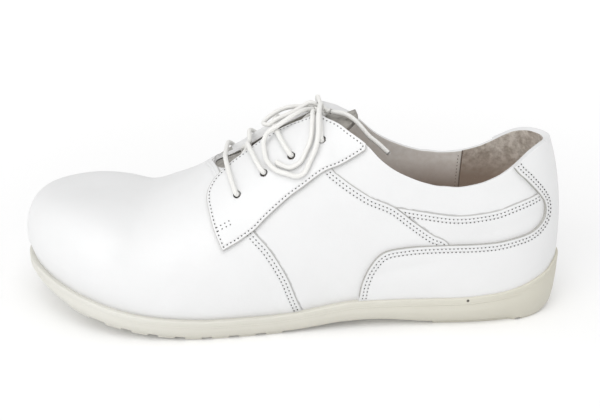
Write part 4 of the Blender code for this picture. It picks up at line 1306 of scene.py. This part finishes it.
def sole_rings():
    """The sole's edge from top to bottom: an inset, a share of the edge's round, and a height."""
    def below(distance):
        return lambda along: sole_height(along) - distance

    def wall_height(depth):
        def height(along):
            top = sole_height(along) - LIP - GROOVE
            return top + (sole_underside(along) - top) * depth
        return height

    rings = [(SHELF * 1.6, 0.0, below(0.0)), (SHELF * 0.6, 0.0, below(0.0))]
    rim = LIP / 3
    for turn in np.linspace(0, math.pi / 2, 6):
        rings.append((rim * (1 - math.sin(turn)), 0.0, below(rim * (1 - math.cos(turn)))))
    rings.append((0.0, 0.0, below(LIP * 0.82)))
    for turn in np.linspace(0, math.pi, 7):
        rings.append((GROOVE_DEPTH * math.sin(turn), 0.0, below(LIP + GROOVE * (1 - math.cos(turn)) / 2)))
    for depth in np.linspace(0.05, 1.0, 20):
        rings.append((0.0, lookup(SIDEWALL, SIDEWALL_COLUMNS, "inset", depth), wall_height(depth)))
    return rings


def sole_shell():
    """The outsole without its lugs."""
    ring_places = stations(SOLE_STEP)
    count = len(ring_places)
    middle = ring_places.index((LATERAL, 1.0))
    mesh = bmesh.new()
    rings = []
    for inset, share, height in sole_rings():
        rings.append([
            mesh.verts.new(sole_point(side, along, inset + share * edge_round(side, along), height))
            for side, along in ring_places
        ])
    for upper_ring, lower_ring in zip(rings, rings[1:]):
        for i in range(count):
            j = (i + 1) % count
            mesh.faces.new((upper_ring[i], lower_ring[i], lower_ring[j], upper_ring[j]))
    for ring in (rings[0], rings[-1]):
        for i in range(middle):
            corners = [ring[i], ring[i + 1], ring[(-i - 1) % count], ring[-i % count]]
            mesh.faces.new(list(dict.fromkeys(corners)))
    bmesh.ops.recalc_face_normals(mesh, faces=mesh.faces)
    return mesh


def tread_bar(mesh, start, end, steps):
    """One raised bar under the sole, from side to side."""
    def root(along):
        return sole_underside(along) + LUG_ROOT

    def tip(along):
        return sole_underside(along) - LUG_DEPTH

    rows = []
    for along in np.linspace(start, end, steps + 1):
        loop = []
        for side, height in ((LATERAL, root), (LATERAL, tip), (MEDIAL, tip), (MEDIAL, root)):
            inset = edge_round(side, along) + LUG_INSET
            loop.append(mesh.verts.new(sole_point(side, along, inset, height)))
        rows.append(loop)
    for first, second in zip(rows, rows[1:]):
        for k in range(4):
            m = (k + 1) % 4
            mesh.faces.new((first[k], first[m], second[m], second[k]))
    mesh.faces.new(rows[0])
    mesh.faces.new(list(reversed(rows[-1])))


def tread():
    """The heel block, its front pad and the bars below the ball of the foot, with soft edges."""
    mesh = bmesh.new()
    for start, end in HEEL_PADS:
        tread_bar(mesh, start, end, 16)
    for k in range(LUG_COUNT):
        middle = LUG_FIRST + k * LUG_PITCH / LENGTH
        half = LUG_LENGTH / LENGTH / 2
        tread_bar(mesh, middle - half, middle + half, 6)
    bmesh.ops.recalc_face_normals(mesh, faces=mesh.faces)
    bars = make_piece("tread bars", mesh)
    soft = bars.modifiers.new("soft edges", "BEVEL")
    soft.width = LUG_ROUND
    soft.segments = 2
    soft.angle_limit = math.radians(50)
    return bars


def sole_rubber():
    """Ivory rubber with a fine moulded texture, darker and yellower towards the heel, and darker low down
    as painted shade.
    """
    finish = Finish("ivory rubber", coat_weight=0.04, coat_roughness=0.5)
    cloud = finish.cloud(60.0, 5.0, 0.6)
    axes = finish.axes()
    front = mix_colors(finish, cloud, (0.71, 0.70, 0.65, 1), (0.67, 0.66, 0.605, 1))
    back = mix_colors(finish, cloud, (0.64, 0.62, 0.535, 1), (0.59, 0.565, 0.475, 1))
    rubber = mix_colors(finish, ramp(finish.tree, axes["X"], -0.14, 0.08, 0.0, 1.0), back, front)
    # Painted shade: the lower side wall, which turns in under the sole, is darkened.
    low = ramp(finish.tree, axes["Z"], 0.002, 0.014, 0.55, 0.0)
    rubber_with_low_shade = mix_colors(finish, low, rubber, (0.55, 0.53, 0.46, 1))
    off = finish.node("ShaderNodeVectorMath", "DISTANCE", in0=finish.place(), in1=SPECK).outputs["Value"]
    speck = ramp(finish.tree, off, SPECK_SIZE * 0.6, SPECK_SIZE, 1.0, 0.0)
    finish.feed("Base Color", mix_colors(finish, speck, rubber_with_low_shade, (0.06, 0.05, 0.04, 1)))
    finish.feed("Roughness", ramp(finish.tree, cloud, 0.0, 1.0, 0.48, 0.66))
    finish.bump(finish.cloud(1100.0, 2.0), 0.00005)
    return finish.material


SPECK_ALONG = 0.189     # a small dark fleck in the side wall
SPECK_DROP = 0.0014
SPECK = tuple(sole_point(LATERAL, SPECK_ALONG, 0.0, lambda along: sole_height(along) - SPECK_DROP))
SPECK_SIZE = 0.0009
outsole = make_piece("outsole_rubber", sole_shell(), sole_rubber())
bars = tread()
cut_with(outsole, bars, "UNION")
settle(outsole, bars)
put_on_shoe(outsole, "sole_rubber", "outsole")

# Insole
# A loose sock of tan leather that lies on the sole inside the upper, slightly cupped by the foot.
INSOLE = 0.0030
INSOLE_ROOM = 0.0006
INSOLE_CUP = 0.0012
INSOLE_SLOPE = 0.018    # how wide the cup's edge is
INSOLE_ROWS = 26
INSOLE_ROUND = 0.0008
INSOLE_SPACING = 0.0035
INSOLE_INSET = SHELF + WALL + INSOLE_ROOM


def insole_shell():
    """The insole: strips across the shoe, lower in the middle than at the edge."""
    rows = []
    for side, along in stations(INSOLE_SPACING):
        if side == LATERAL:
            far = sole_point(MEDIAL, along, INSOLE_INSET, sole_height)
            near = sole_point(LATERAL, along, INSOLE_INSET, sole_height)
            rows.append([near.lerp(far, k / INSOLE_ROWS) for k in range(INSOLE_ROWS + 1)])
    mesh = bmesh.new()
    mesh.verts.layers.float.new("along")
    mesh.verts.layers.float.new("rise")
    grid = []
    for row in rows:
        line = []
        for point in row:
            vert = mesh.verts.new(point)
            vert.co.z = sole_height(min(max(point.x / LENGTH + 0.5, 0.0), 1.0))
            line.append(vert)
        grid.append(line)
    for first, second in zip(grid, grid[1:]):
        for j in range(INSOLE_ROWS):
            mesh.faces.new((first[j], second[j], second[j + 1], first[j + 1]))
    bmesh.ops.remove_doubles(mesh, verts=mesh.verts, dist=MERGE)
    bmesh.ops.recalc_face_normals(mesh, faces=mesh.faces)
    mesh.normal_update()
    if sum(face.normal.z for face in mesh.faces) < 0:
        bmesh.ops.reverse_faces(mesh, faces=mesh.faces)
        mesh.normal_update()
    points = read_sheet(mesh)[0]
    line = [np.array(point) for point, normal in edge_loop(mesh)]
    inward = np.clip(distance_to_line(points, line + line[:1]) / INSOLE_SLOPE, 0, 1)
    top = GAP + INSOLE - INSOLE_CUP * inward * inward * (3 - 2 * inward)
    return wall(mesh, np.full(len(points), GAP), top, np.full(len(points), FAR))


insole = make_piece(
    "insole_leather", insole_shell(),
    lining("tan leather", (0.46, 0.235, 0.105, 1), (0.40, 0.195, 0.086, 1), 0.00008))
round_rims(insole, INSOLE_ROUND)
settle(insole)
put_on_shoe(insole, "tan_leather", "insole")

# Laces
# One round cotton lace, braided. It runs as a bar over the two front eyelets, crosses below the
# facings up to the rear eyelets, and is tied in a bow whose loops and ends hang to the lateral side.
LACE = 0.0024
FACET_ROOM = 0.0005
OVERLAY = 0.0014
KNOT_LENGTH = 0.0095    # across the shoe
KNOT_DEPTH = 0.0070     # along the shoe
KNOT_HEIGHT = 0.0056
KNOT_ALONG = 0.458
NEAR_RIDGE = 0.985      # highest rise at which the upper still has a clear way to face
OVER_FACING = GAP + FACET_ROOM + OVERLAY + GAP + LACE / 2
OVER_EDGE = OVER_FACING + LACE / 6
LACE_SIDES = 16
LACE_SPACING = 0.0008
ROUTE_STEPS = 24
EYELET_LEAN = 0.007     # a lace leans this far towards the throat in its eyelet, as a rise
EYELET_DIVE = (0.0012, -0.0030)     # heights of a lace's centre on its way down through an eyelet
BELOW_EYELET = -0.0012  # height of a lace that comes up from below an eyelet
BELOW_FACING = -0.0034  # its height beside the eyelet, below the facing
BELOW_LEAN = 0.02       # and how far towards the throat that is, as a rise
BELOW_EDGE = -0.0036    # its height where it nears the facing's edge
BRAID_STRANDS = 6.0     # strands round the lace each way, and their turns in a length of LACE
BRAID_TURNS = 2.2

# Laces over the throat. Out is the share of the way from the throat's middle to its edge, on a
# strand's own side, or on the other side where it is below 0.
# The bar, from the facing to the middle: how far ahead of its eyelets it runs, in shares of LACE, then
# out, and its height in shares of OVER_EDGE
BAR = (
    (2.00, 1.00, 1.00),
    (2.40, 0.55, 0.80),
)
BAR_CLIMB = 0.10        # rise from its eyelet to where it has turned up the facing
# Crossing strands, from below a facing: the share of the way back to the next eyelet, and out
CROSSING_START = ((0.00, 0.74), (0.20, 0.36))
CROSSING_OVER = ((0.34, -0.25), (0.50, -1.00))
CROSSING_BELOW = ((0.50, -0.34), (0.80, -0.78))
CROSSING_REST = (0.78, 0.08)    # where it lies on the facing: back, and rise above its eyelet
RISER_TOP = 0.6         # a riser is highest this share of the way from the facing to the knot
# The bow's four free cords, as their centre lines. Each leaves the knot at a port: degrees round it
# from the toe's side, and degrees up. Then come points from the knot's centre, in shares of LACE:
# ahead, aside and up.
LOOP_LATERAL_PORTS = ((15, 25), (80, 50))
LOOP_LATERAL = (
    (4.10, 3.60, 1.20),
    (6.60, 5.30, 0.30),
    (9.50, 6.10, -1.50),
    (11.40, 6.30, -2.80),
    (12.20, 7.10, -4.50),
    (12.10, 8.40, -5.90),
    (11.50, 10.70, -7.50),
    (9.70, 12.60, -8.75),
    (7.60, 13.60, -9.20),
    (5.50, 14.20, -9.55),
    (3.90, 14.05, -8.75),
    (2.80, 13.20, -6.60),
    (1.75, 12.50, -4.30),
    (1.20, 11.50, -1.65),
    (1.10, 9.60, 1.15),
    (0.80, 6.60, 2.70),
    (0.40, 4.00, 2.80),
)
LOOP_FRONT_PORTS = ((-35, 20), (-25, 62))
LOOP_FRONT = (
    (4.00, -1.80, 0.60),
    (7.00, -1.60, 0.45),
    (9.10, -1.50, -0.25),
    (11.20, -1.30, -1.60),
    (12.40, -0.20, -2.60),
    (11.20, 1.50, -2.50),
    (9.50, 1.90, -1.15),
    (6.60, 1.40, 0.00),
    (4.20, 0.30, 1.10),
    (2.60, -0.10, 1.90),
)
END_FRONT_PORTS = ((55, 0),)
END_FRONT = (
    (1.90, 3.90, 1.10),
    (2.20, 6.20, 1.40),
    (2.30, 8.40, 0.50),
    (2.60, 10.60, -2.60),
    (3.70, 11.90, -5.20),
    (4.80, 12.80, -6.95),
    (6.70, 13.00, -8.05),
    (8.50, 12.25, -7.85),
    (9.80, 11.45, -7.30),
)
END_BACK_PORTS = ((150, 10),)
END_BACK = (
    (-3.00, 2.20, 0.40),
    (-4.70, 3.00, 0.32),
    (-6.60, 3.75, -0.68),
    (-8.50, 4.35, -2.60),
    (-9.80, 4.80, -4.00),
    (-11.80, 5.40, -5.50),
    (-14.10, 6.00, -7.50),
)


def smooth_route(points, spacing):
    """Evenly spaced points on a smooth open curve through a route's own points."""
    dense = catmull(points, ROUTE_STEPS)
    lengths = np.concatenate([[0.0], np.linalg.norm(np.diff(dense, axis=0), axis=1).cumsum()])
    count = max(3, round(lengths[-1] / spacing))
    wanted = np.linspace(0, lengths[-1], count + 1)
    return [Vector(point) for point in zip(*[np.interp(wanted, lengths, column) for column in dense.T])]


def gap_point(side, along, share, height):
    """A point over the throat. Share is 0 at its middle and 1 at its edge."""
    rise = gap_rise(side, along, throat_gap(side, along) * share)
    return last_offset(side, along, min(rise, NEAR_RIDGE), height)


def over_tongue(along, thickness=LACE):
    """Height of the middle of what lies on the tongue."""
    drop = lookup(TONGUE_DROP, TONGUE_DROP_COLUMNS, "drop", along) * WALL
    return GAP + thickness / 2 - drop


def bar_route():
    """The bar that crosses between the two front eyelets."""
    along, rise = EYELETS[0]
    half = []
    for side in (LATERAL, MEDIAL):
        turn = along + BAR[0][0] / 2 * LACE / LENGTH
        points = [last_offset(side, along, rise, OVER_FACING)]
        points.append(last_offset(side, turn, rise + BAR_CLIMB, OVER_EDGE))
        for ahead, out, height in BAR:
            points.append(gap_point(side, along + ahead * LACE / LENGTH, out, OVER_EDGE * height))
        half.append(points)
    return half[0] + half[1][::-1]


def crossing_routes(row):
    """Two strands that cross over the throat, each up to the next eyelet of the other side.

    The last pair runs back below the facings, because it comes up through the rear eyelets.
    """
    start = EYELETS[row][0]
    end, rise = EYELETS[row + 1]
    low = over_tongue((start + end) / 2) + 2 * GAP
    last = row == len(EYELETS) - 2

    def over_throat(side, place, height):
        back, out = place
        return gap_point(side if out > 0 else -side, start + (end - start) * back, abs(out), height)

    routes = []
    for side in (LATERAL, MEDIAL):
        layer = LACE / 2 if side == LATERAL else 0.0
        route = [
            over_throat(side, CROSSING_START[0], over_tongue(start) + GAP),
            over_throat(side, CROSSING_START[1], low + layer),
        ]
        if last:
            route += [
                over_throat(side, CROSSING_BELOW[0], low + layer),
                over_throat(side, CROSSING_BELOW[1], over_tongue(end) + GAP),
            ]
        else:
            back, climb = CROSSING_REST
            route += [
                over_throat(side, CROSSING_OVER[0], low + LACE),
                over_throat(side, CROSSING_OVER[1], OVER_EDGE + GAP),
                last_offset(-side, start + (end - start) * back, rise + climb, OVER_FACING + GAP),
                last_offset(-side, end, rise, OVER_FACING),
            ]
        routes.append(route)
    return routes


def riser_route(side):
    """The lace from a rear eyelet to the knot."""
    along, rise = EYELETS[-1]
    edge = edge_rise(side, along)
    start = last_offset(side, along, rise, OVER_FACING)
    middle = last_offset(side, along, (rise + edge) / 2, OVER_FACING + GAP)
    crest = last_offset(side, along, edge, OVER_EDGE)
    port = knot_port(90 * side, 0)
    return [start, middle, crest, crest.lerp(port, RISER_TOP) + Vector((0, 0, GAP)), port]


def knot_port(turn, climb):
    """Where a lace meets the knot: degrees round it from the toe's side, and degrees up."""
    turn, climb = math.radians(turn), math.radians(climb)
    way = Vector((math.cos(climb) * math.cos(turn), math.cos(climb) * math.sin(turn), math.sin(climb)))
    size = Vector((KNOT_DEPTH, KNOT_LENGTH, KNOT_HEIGHT)) / 2
    return knot_centre() + way * (LACE / 2) + Vector([a * b for a, b in zip(way, size)])


def knot_centre():
    """The knot lies on the tongue, between the rear eyelets."""
    return last_offset(LATERAL, KNOT_ALONG, NEAR_RIDGE, over_tongue(KNOT_ALONG, KNOT_HEIGHT) + GAP)


def bow_route(table, ports):
    """The route of one free cord of the bow. A loop has a second port, where it comes back."""
    centre = knot_centre()
    route = [knot_port(*ports[0])]
    route += [centre + Vector(row) * LACE for row in table]
    if len(ports) > 1:
        route.append(knot_port(*ports[1]))
    return route


def lace_cord():
    """White cotton braid: strands that wind both ways round the lace, with painted shade in the grooves
    between them.
    """
    finish = Finish("white lace", roughness=0.8, sheen_weight=0.2, sheen_roughness=0.5)
    tree = finish.tree
    run = finish.node("ShaderNodeUVMap")
    run.uv_map = "run"
    parts = finish.node("ShaderNodeSeparateXYZ", Vector=run.outputs["UV"]).outputs
    windings = []
    for strands in (BRAID_STRANDS, -BRAID_STRANDS):
        twist = calculate(tree, "MULTIPLY", parts["Y"], strands)
        turns = calculate(tree, "MULTIPLY_ADD", parts["X"], BRAID_TURNS, twist)
        windings.append(calculate(tree, "SINE", calculate(tree, "MULTIPLY", turns, 2 * math.pi)))
    braid = calculate(tree, "MAXIMUM", *windings)
    # Painted shade: the grooves between the strands are darker than their crests.
    tone = ramp(tree, braid, -1.0, 1.0, 1.0, 0.0)
    finish.feed("Base Color", mix_colors(finish, tone, (0.87, 0.865, 0.84, 1), (0.76, 0.75, 0.72, 1)))
    finish.bump(calculate(tree, "MULTIPLY_ADD", finish.cloud(2500.0, 2.0), 0.5, braid), 0.00007)
    return finish.material


def add_strand(mesh, route):
    """Adds a round strand along a route to a mesh, and returns the points that it follows."""
    run_layer = mesh.loops.layers.uv.get("run") or mesh.loops.layers.uv.new("run")
    points = smooth_route(route, LACE_SPACING)
    tangents = [(b - a).normalized() for a, b in zip(points[:1] + points[:-1], points[1:] + points[-1:])]
    tangents[0] = (points[1] - points[0]).normalized()
    across = tangents[0].orthogonal().normalized()
    rings = []
    lengths = []
    length = 0.0
    dome = ((0.55, 0.0), (0.88, 0.45))
    for i, (point, tangent) in enumerate(zip(points, tangents)):
        across = (across - tangent * across.dot(tangent)).normalized()
        other = tangent.cross(across)
        if i:
            length += (point - points[i - 1]).length
        stops = [(1.0, 0.0)]
        if i == 0:
            stops = [(share, ahead * LACE / 4) for share, ahead in dome] + [(1.0, LACE / 3)]
        if i == len(points) - 1:
            stops = [(1.0, -LACE / 3)] + [(share, -ahead * LACE / 4) for share, ahead in reversed(dome)]
        for share, ahead in stops:
            ring = []
            for k in range(LACE_SIDES):
                turn = 2 * math.pi * k / LACE_SIDES
                way = across * math.cos(turn) + other * math.sin(turn)
                ring.append(mesh.verts.new(point + tangent * ahead + way * share * LACE / 2))
            rings.append(ring)
            lengths.append((length + ahead) / LACE)
    faces = []
    for n, (first, second) in enumerate(zip(rings, rings[1:])):
        for k in range(LACE_SIDES):
            m = (k + 1) % LACE_SIDES
            face = mesh.faces.new((first[k], first[m], second[m], second[k]))
            faces.append(face)
            places = ((n, k), (n, k + 1), (n + 1, k + 1), (n + 1, k))
            for loop, (ring_index, turn_index) in zip(face.loops, places):
                loop[run_layer].uv = (lengths[ring_index], turn_index / LACE_SIDES)
    faces.append(mesh.faces.new(rings[0]))
    faces.append(mesh.faces.new(rings[-1]))
    bmesh.ops.recalc_face_normals(mesh, faces=faces)
    return points


def lace_piece(name, routes, node):
    """A piece of lace from one or more strands, in place of a plain solid."""
    mesh = bmesh.new()
    paths = [add_strand(mesh, route) for route in routes]
    piece = make_piece(name, mesh, LACE_FINISH)
    piece.data.shade_smooth()
    put_on_shoe(piece, "lace_cord", node)
    return piece, paths[0]


def into_eyelet(side, row):
    """Down through an eyelet from above."""
    along, rise = EYELETS[row]
    return [last_offset(side, along, rise + EYELET_LEAN, height) for height in EYELET_DIVE]


def out_of_eyelet(side, row, edge_share=0.5):
    """From below an eyelet, under the facing, towards the throat."""
    along, rise = EYELETS[row]
    between = rise + (edge_rise(side, along) - rise) * edge_share
    return [
        last_offset(side, along, rise, BELOW_EYELET),
        last_offset(side, along, rise + BELOW_LEAN, BELOW_FACING),
        last_offset(side, along, between, BELOW_EDGE),
    ]


LACE_FINISH = lace_cord()
bar = bar_route()
lace_piece(
    "lace_bar_cord",
    [into_eyelet(LATERAL, 0)[::-1] + bar + into_eyelet(MEDIAL, 0)],
    "lace_bar")
for row in range(len(EYELETS) - 1):
    strands = []
    for side, route in zip((LATERAL, MEDIAL), crossing_routes(row)):
        strand = out_of_eyelet(side, row) + route
        if row < len(EYELETS) - 2:
            strand += into_eyelet(-side, row + 1)
        else:
            strand += out_of_eyelet(-side, row + 1, 0.6)[::-1]
        strands.append(strand)
    lace_piece("lace_crossing_%d_cord" % (row + 1), strands, "lace_crossing_%d" % (row + 1))
for side, word in ((LATERAL, "lateral"), (MEDIAL, "medial")):
    along, rise = EYELETS[-1]
    below = last_offset(side, along, rise, BELOW_EYELET)
    lace_piece("lace_riser_%s_cord" % word, [[below] + riser_route(side)], "lace_riser_" + word)

# Bow
# The ends of the same lace: two loops and two ends leave a knot of wound strands.
WRAP_RADIUS = 0.0020
WRAP_TURNS = 1.6
WRAP_LENGTH = 0.0042
STRAND_BEND = 0.55      # share of the way to the knot's middle where a strand through it bends


def knot_strands():
    """The strands of the knot: three that pass through it and one that is wound round them."""
    centre = knot_centre()

    def through(first, second, lift, lean):
        middle = centre + Vector((lean, 0, lift))
        start, end = knot_port(*first), knot_port(*second)
        return [start, start.lerp(middle, STRAND_BEND) + Vector((0, 0, lift / 2)), middle,
                end.lerp(middle, STRAND_BEND) + Vector((0, 0, lift / 2)), end]

    strands = [
        through((90, 0), (-90, 0), -0.0010, -0.0006),
        through(LOOP_LATERAL_PORTS[0], LOOP_FRONT_PORTS[0], 0.0004, 0.0008),
        through(LOOP_LATERAL_PORTS[1], LOOP_FRONT_PORTS[1], 0.0016, 0.0002),
        through(END_FRONT_PORTS[0], END_BACK_PORTS[0], 0.0006, -0.0012),
    ]
    wrap = []
    for t in np.linspace(0, 1, 22):
        turn = 2 * math.pi * WRAP_TURNS * t - math.pi / 2
        wrap.append(centre + Vector((
            WRAP_RADIUS * math.cos(turn),
            (t - 0.5) * WRAP_LENGTH,
            WRAP_RADIUS * math.sin(turn),
        )))
    return strands + [wrap]


def free_cord(name, table, ports):
    """One free cord of the bow, as long as its own route."""
    piece, path = lace_piece(name + "_cord", [bow_route(table, ports)], name)


lace_piece("lace_knot_cord", knot_strands(), "lace_knot")
free_cord("lace_loop_lateral", LOOP_LATERAL, LOOP_LATERAL_PORTS)
free_cord("lace_loop_front", LOOP_FRONT, LOOP_FRONT_PORTS)
free_cord("lace_end_front", END_FRONT, END_FRONT_PORTS)
free_cord("lace_end_back", END_BACK, END_BACK_PORTS)

# Stitching
# Beads of thread that hold the panels: two rows along each lapped seam and round the counter, one row
# round each facing with a small bar tack at its front corner, and a row beside the lining's seam. On the
# white leather the beads are painted near black, for the shade of their needle holes as well as the thread.
STITCH_PITCH = 0.00205
STITCH_LENGTH = 0.00078
THREAD = 0.00060
ROW_CLEAR = 0.96        # share of its inset that a row round an edge keeps clear of the edge
LINING_ROW = (0.06, 0.02)       # rise where the row in the lining starts, and its room below the collar
LINING_ROW_POINTS = 40


def stitch_tree():
    """Geometry nodes that lay one small bead of thread for each stitch along a curve."""
    tree = bpy.data.node_groups.new("stitch rows", "GeometryNodeTree")
    sizes = [(word, "Float") for word in ("Pitch", "Stitch Length", "Thread")]
    for word, kind in [("Path", "Geometry")] + sizes + [("Finish", "Material")]:
        tree.interface.new_socket(word, in_out="INPUT", socket_type="NodeSocket" + kind)
    tree.interface.new_socket("Stitches", in_out="OUTPUT", socket_type="NodeSocketGeometry")
    given = tree.nodes.new("NodeGroupInput").outputs
    result = tree.nodes.new("NodeGroupOutput").inputs
    places = tree.nodes.new("GeometryNodeCurveToPoints")
    places.mode = "LENGTH"
    set_input(tree, places.inputs["Curve"], given["Path"])
    set_input(tree, places.inputs["Length"], given["Pitch"])
    bead = add_node(tree, "GeometryNodeMeshUVSphere", Segments=6, Rings=5, Radius=0.5)
    size = add_node(
        tree, "ShaderNodeCombineXYZ", X=given["Thread"], Y=given["Thread"], Z=given["Stitch Length"])
    lay = add_node(
        tree, "GeometryNodeInstanceOnPoints", Points=places.outputs["Points"],
        Instance=bead.outputs["Mesh"], Rotation=places.outputs["Rotation"], Scale=size.outputs["Vector"])
    real = add_node(tree, "GeometryNodeRealizeInstances", Geometry=lay.outputs["Instances"])
    dress = add_node(
        tree, "GeometryNodeSetMaterial", Geometry=real.outputs["Geometry"], Material=given["Finish"])
    tree.links.new(dress.outputs["Geometry"], result["Stitches"])
    return tree


def thread_finish(name, color):
    """Waxed thread, mottled a little darker at random."""
    finish = Finish(name, roughness=0.8, specular_ior_level=0.15)
    ply = finish.cloud(3000.0, 1.0)
    dark = tuple(part * 0.7 for part in color)
    finish.feed("Base Color", mix_colors(finish, ply, (*color, 1), (*dark, 1)))
    finish.bump(ply, 0.0001)
    return finish.material


STITCH_TREE = stitch_tree()
# Painted shade: the stitch beads on the white leather are near black, standing for the shade of their
# needle holes as well as the thread.
HOLE_SHADE_THREAD = thread_finish("grey thread", (0.055, 0.050, 0.045))
LINING_THREAD = thread_finish("lining thread", (0.26, 0.22, 0.18))


def stitches(name, paths, slot, finish=HOLE_SHADE_THREAD):
    """Stitches along several paths, as one piece."""
    curve = bpy.data.curves.new(name, "CURVE")
    curve.dimensions = "3D"
    for path in paths:
        spline = curve.splines.new("POLY")
        spline.points.add(len(path) - 1)
        for target, point in zip(spline.points, path):
            target.co = (*point, 1)
    rows = bpy.data.objects.new(name + " rows", curve)
    bpy.context.scene.collection.objects.link(rows)
    change = rows.modifiers.new("stitches", "NODES")
    change.node_group = STITCH_TREE
    values = {"Pitch": STITCH_PITCH, "Stitch Length": STITCH_LENGTH, "Thread": THREAD, "Finish": finish}
    for item in STITCH_TREE.interface.items_tree:
        if item.in_out == "INPUT" and item.name in values:
            change[item.identifier] = values[item.name]
    view = bpy.context.evaluated_depsgraph_get()
    mesh = bpy.data.meshes.new_from_object(rows.evaluated_get(view))
    mesh.name = name
    bpy.data.objects.remove(rows)
    piece = bpy.data.objects.new(name, mesh)
    bpy.context.scene.collection.objects.link(piece)
    mesh.shade_smooth()
    put_on_shoe(piece, slot)


def raise_row(points, normals, lift):
    """A row of stitches on the leather, which is a little uneven."""
    lifts = lift + waves(points) - crease_depth(points)
    return [Vector(point) + normal * float(height) for point, normal, height in zip(points, normals, lifts)]


def seam_row(seam, side, inset, way, lift, start, end):
    """A row beside a part of a seam. Way is 1 or -1, for the side of the seam that it lies on."""
    curve = catmull(seam, ROUTE_STEPS)
    curve = curve[int(len(curve) * start):int(len(curve) * end)]
    points = []
    normals = []
    for (along, rise), (next_along, next_rise) in zip(curve, curve[1:]):
        here = last_point(side, along, rise)
        tangent = (last_point(side, next_along, next_rise) - here).normalized()
        normal = last_normal(side, along, rise)
        points.append(here + tangent.cross(normal).normalized() * way * side * inset)
        normals.append(normal)
    return raise_row(np.array(points), normals, lift)


def loop_row(loop, inset, lift):
    """A closed row inside the edge of an overlay."""
    edge = np.array([point for point, normal in loop])
    middle = Vector(edge.mean(0))
    ways = []
    for i, (point, normal) in enumerate(loop):
        tangent = (loop[(i + 1) % len(loop)][0] - loop[i - 1][0]).normalized()
        ways.append(tangent.cross(normal).normalized())
    inwards = sum(way.dot(middle - point) for way, (point, normal) in zip(ways, loop))
    turn = 1 if inwards > 0 else -1
    points = np.array([point + way * turn * inset for way, (point, normal) in zip(ways, loop)])
    clear = distance_to_line(points, list(edge) + [edge[0]]) > inset * ROW_CLEAR
    kept = [i for i in range(len(loop)) if clear[i]]
    row = raise_row(points[kept], [loop[i][1] for i in kept], lift)
    return row + row[:1]


BAR_TACK = ((0.6293, 0.4189), (0.6080, 0.4313), (0.6107, 0.4512), (0.6317, 0.4383))
LAP_LIFT = SEAM_STEP * 0.96
COUNTER_END = 0.117     # the counter's rows end here along the sole, this far below the collar as a rise
COUNTER_END_ROOM = 0.01
counter_end = (COUNTER_END, edge_rise(LATERAL, COUNTER_END) - COUNTER_END_ROOM)
counter_seam = [(row[0], row[1]) for row in COUNTER[:-1]] + [counter_end]
# Each seam: the side of it that its rows lie on, how high they lie, where they start along it, and
# where the first and the second row end
SEAM_ROWS = (
    ("vamp", VAMP_SEAM, -1, LAP_LIFT, 0.0, (0.60, 0.60)),
    ("side", SIDE_SEAM, -1, LAP_LIFT, 0.12, (0.86, 0.86)),
    ("collar", COLLAR_SEAM, -1, LAP_LIFT, 0.0, (0.94, 0.90)),
    ("counter", counter_seam, 1, COUNTER_TOP, 0.0, (1.0, 1.0)),
)
for word, seam, way, lift, start, ends in SEAM_ROWS:
    rows = [
        seam_row(seam, side, inset, way, lift, start, end)
        for side in (LATERAL, MEDIAL) for inset, end in zip((FIRST_ROW, SECOND_ROW), ends)
    ]
    stitches("stitches_" + word, rows, "lace_cord")
for side, word in ((LATERAL, "lateral"), (MEDIAL, "medial")):
    tack = [last_point(side, *place) for place in BAR_TACK]
    tack_normals = [last_normal(side, *place) for place in BAR_TACK]
    stitches(
        "stitches_facing_" + word,
        [loop_row(overlay_edges[word], FACING_ROW, OVERLAY_TOP),
         raise_row(np.array(tack), tack_normals, OVERLAY_TOP)],
        "lace_cord")
lining_rows = []
for side in (LATERAL, MEDIAL):
    beside = LINING_SEAM + FIRST_ROW / LENGTH
    top = edge_rise(side, beside)
    rises = np.linspace(LINING_ROW[0], top - LINING_ROW[1], LINING_ROW_POINTS)
    lining_rows.append([last_offset(side, beside, rise, -WALL - LINING_STEP) for rise in rises])
stitches("stitches_lining", lining_rows, "lace_cord", LINING_THREAD)

# Floor and light
# A plain white floor that runs out of view and glows a little away from the shoe, an even white
# surround, and two large soft lamps: one overhead, and one in front of the toe.
FLOOR_SIZE = 40.0
FLOOR_DROP = 0.00002
GLOW_REACH = (0.2, 1.0)     # where the glow starts to grow and where it is full
GLOW_NEAR = (0.05, 0.05, 0.05, 1)
GLOW_FAR = (0.34, 0.34, 0.34, 1)

floor_mesh = bmesh.new()
bmesh.ops.create_grid(floor_mesh, x_segments=1, y_segments=1, size=FLOOR_SIZE / 2)
floor_finish = Finish("white floor", base_color=(0.94, 0.94, 0.94, 1), roughness=0.6, emission_strength=1.0)
floor_away = floor_finish.node("ShaderNodeVectorMath", "LENGTH", in0=floor_finish.place()).outputs["Value"]
floor_glow = ramp(floor_finish.tree, floor_away, *GLOW_REACH, 0.0, 1.0)
floor_finish.feed("Emission Color", mix_colors(floor_finish, floor_glow, GLOW_NEAR, GLOW_FAR))
floor = make_piece("floor", floor_mesh, floor_finish.material)
floor.location.z = -FLOOR_DROP

world = bpy.data.worlds.new("white surround")
world.use_nodes = True
world.node_tree.nodes["Background"].inputs["Color"].default_value = (1.0, 1.0, 1.0, 1)
world.node_tree.nodes["Background"].inputs["Strength"].default_value = 0.65
bpy.context.scene.world = world
bpy.context.scene.view_settings.view_transform = "Standard"


def soft_lamp(name, place, size, power):
    """A square soft lamp that points at the shoe."""
    lamp = bpy.data.objects.new(name, bpy.data.lights.new(name, "AREA"))
    lamp.data.size = size
    lamp.data.energy = power
    lamp.location = place
    lamp.rotation_euler = (-Vector(place)).to_track_quat("-Z", "Y").to_euler()
    bpy.context.scene.collection.objects.link(lamp)


soft_lamp("overhead lamp", (0.1, 1.3, 2.6), 2.4, 33.0)
soft_lamp("front lamp", (1.3, 1.6, 1.0), 1.5, 12.0)
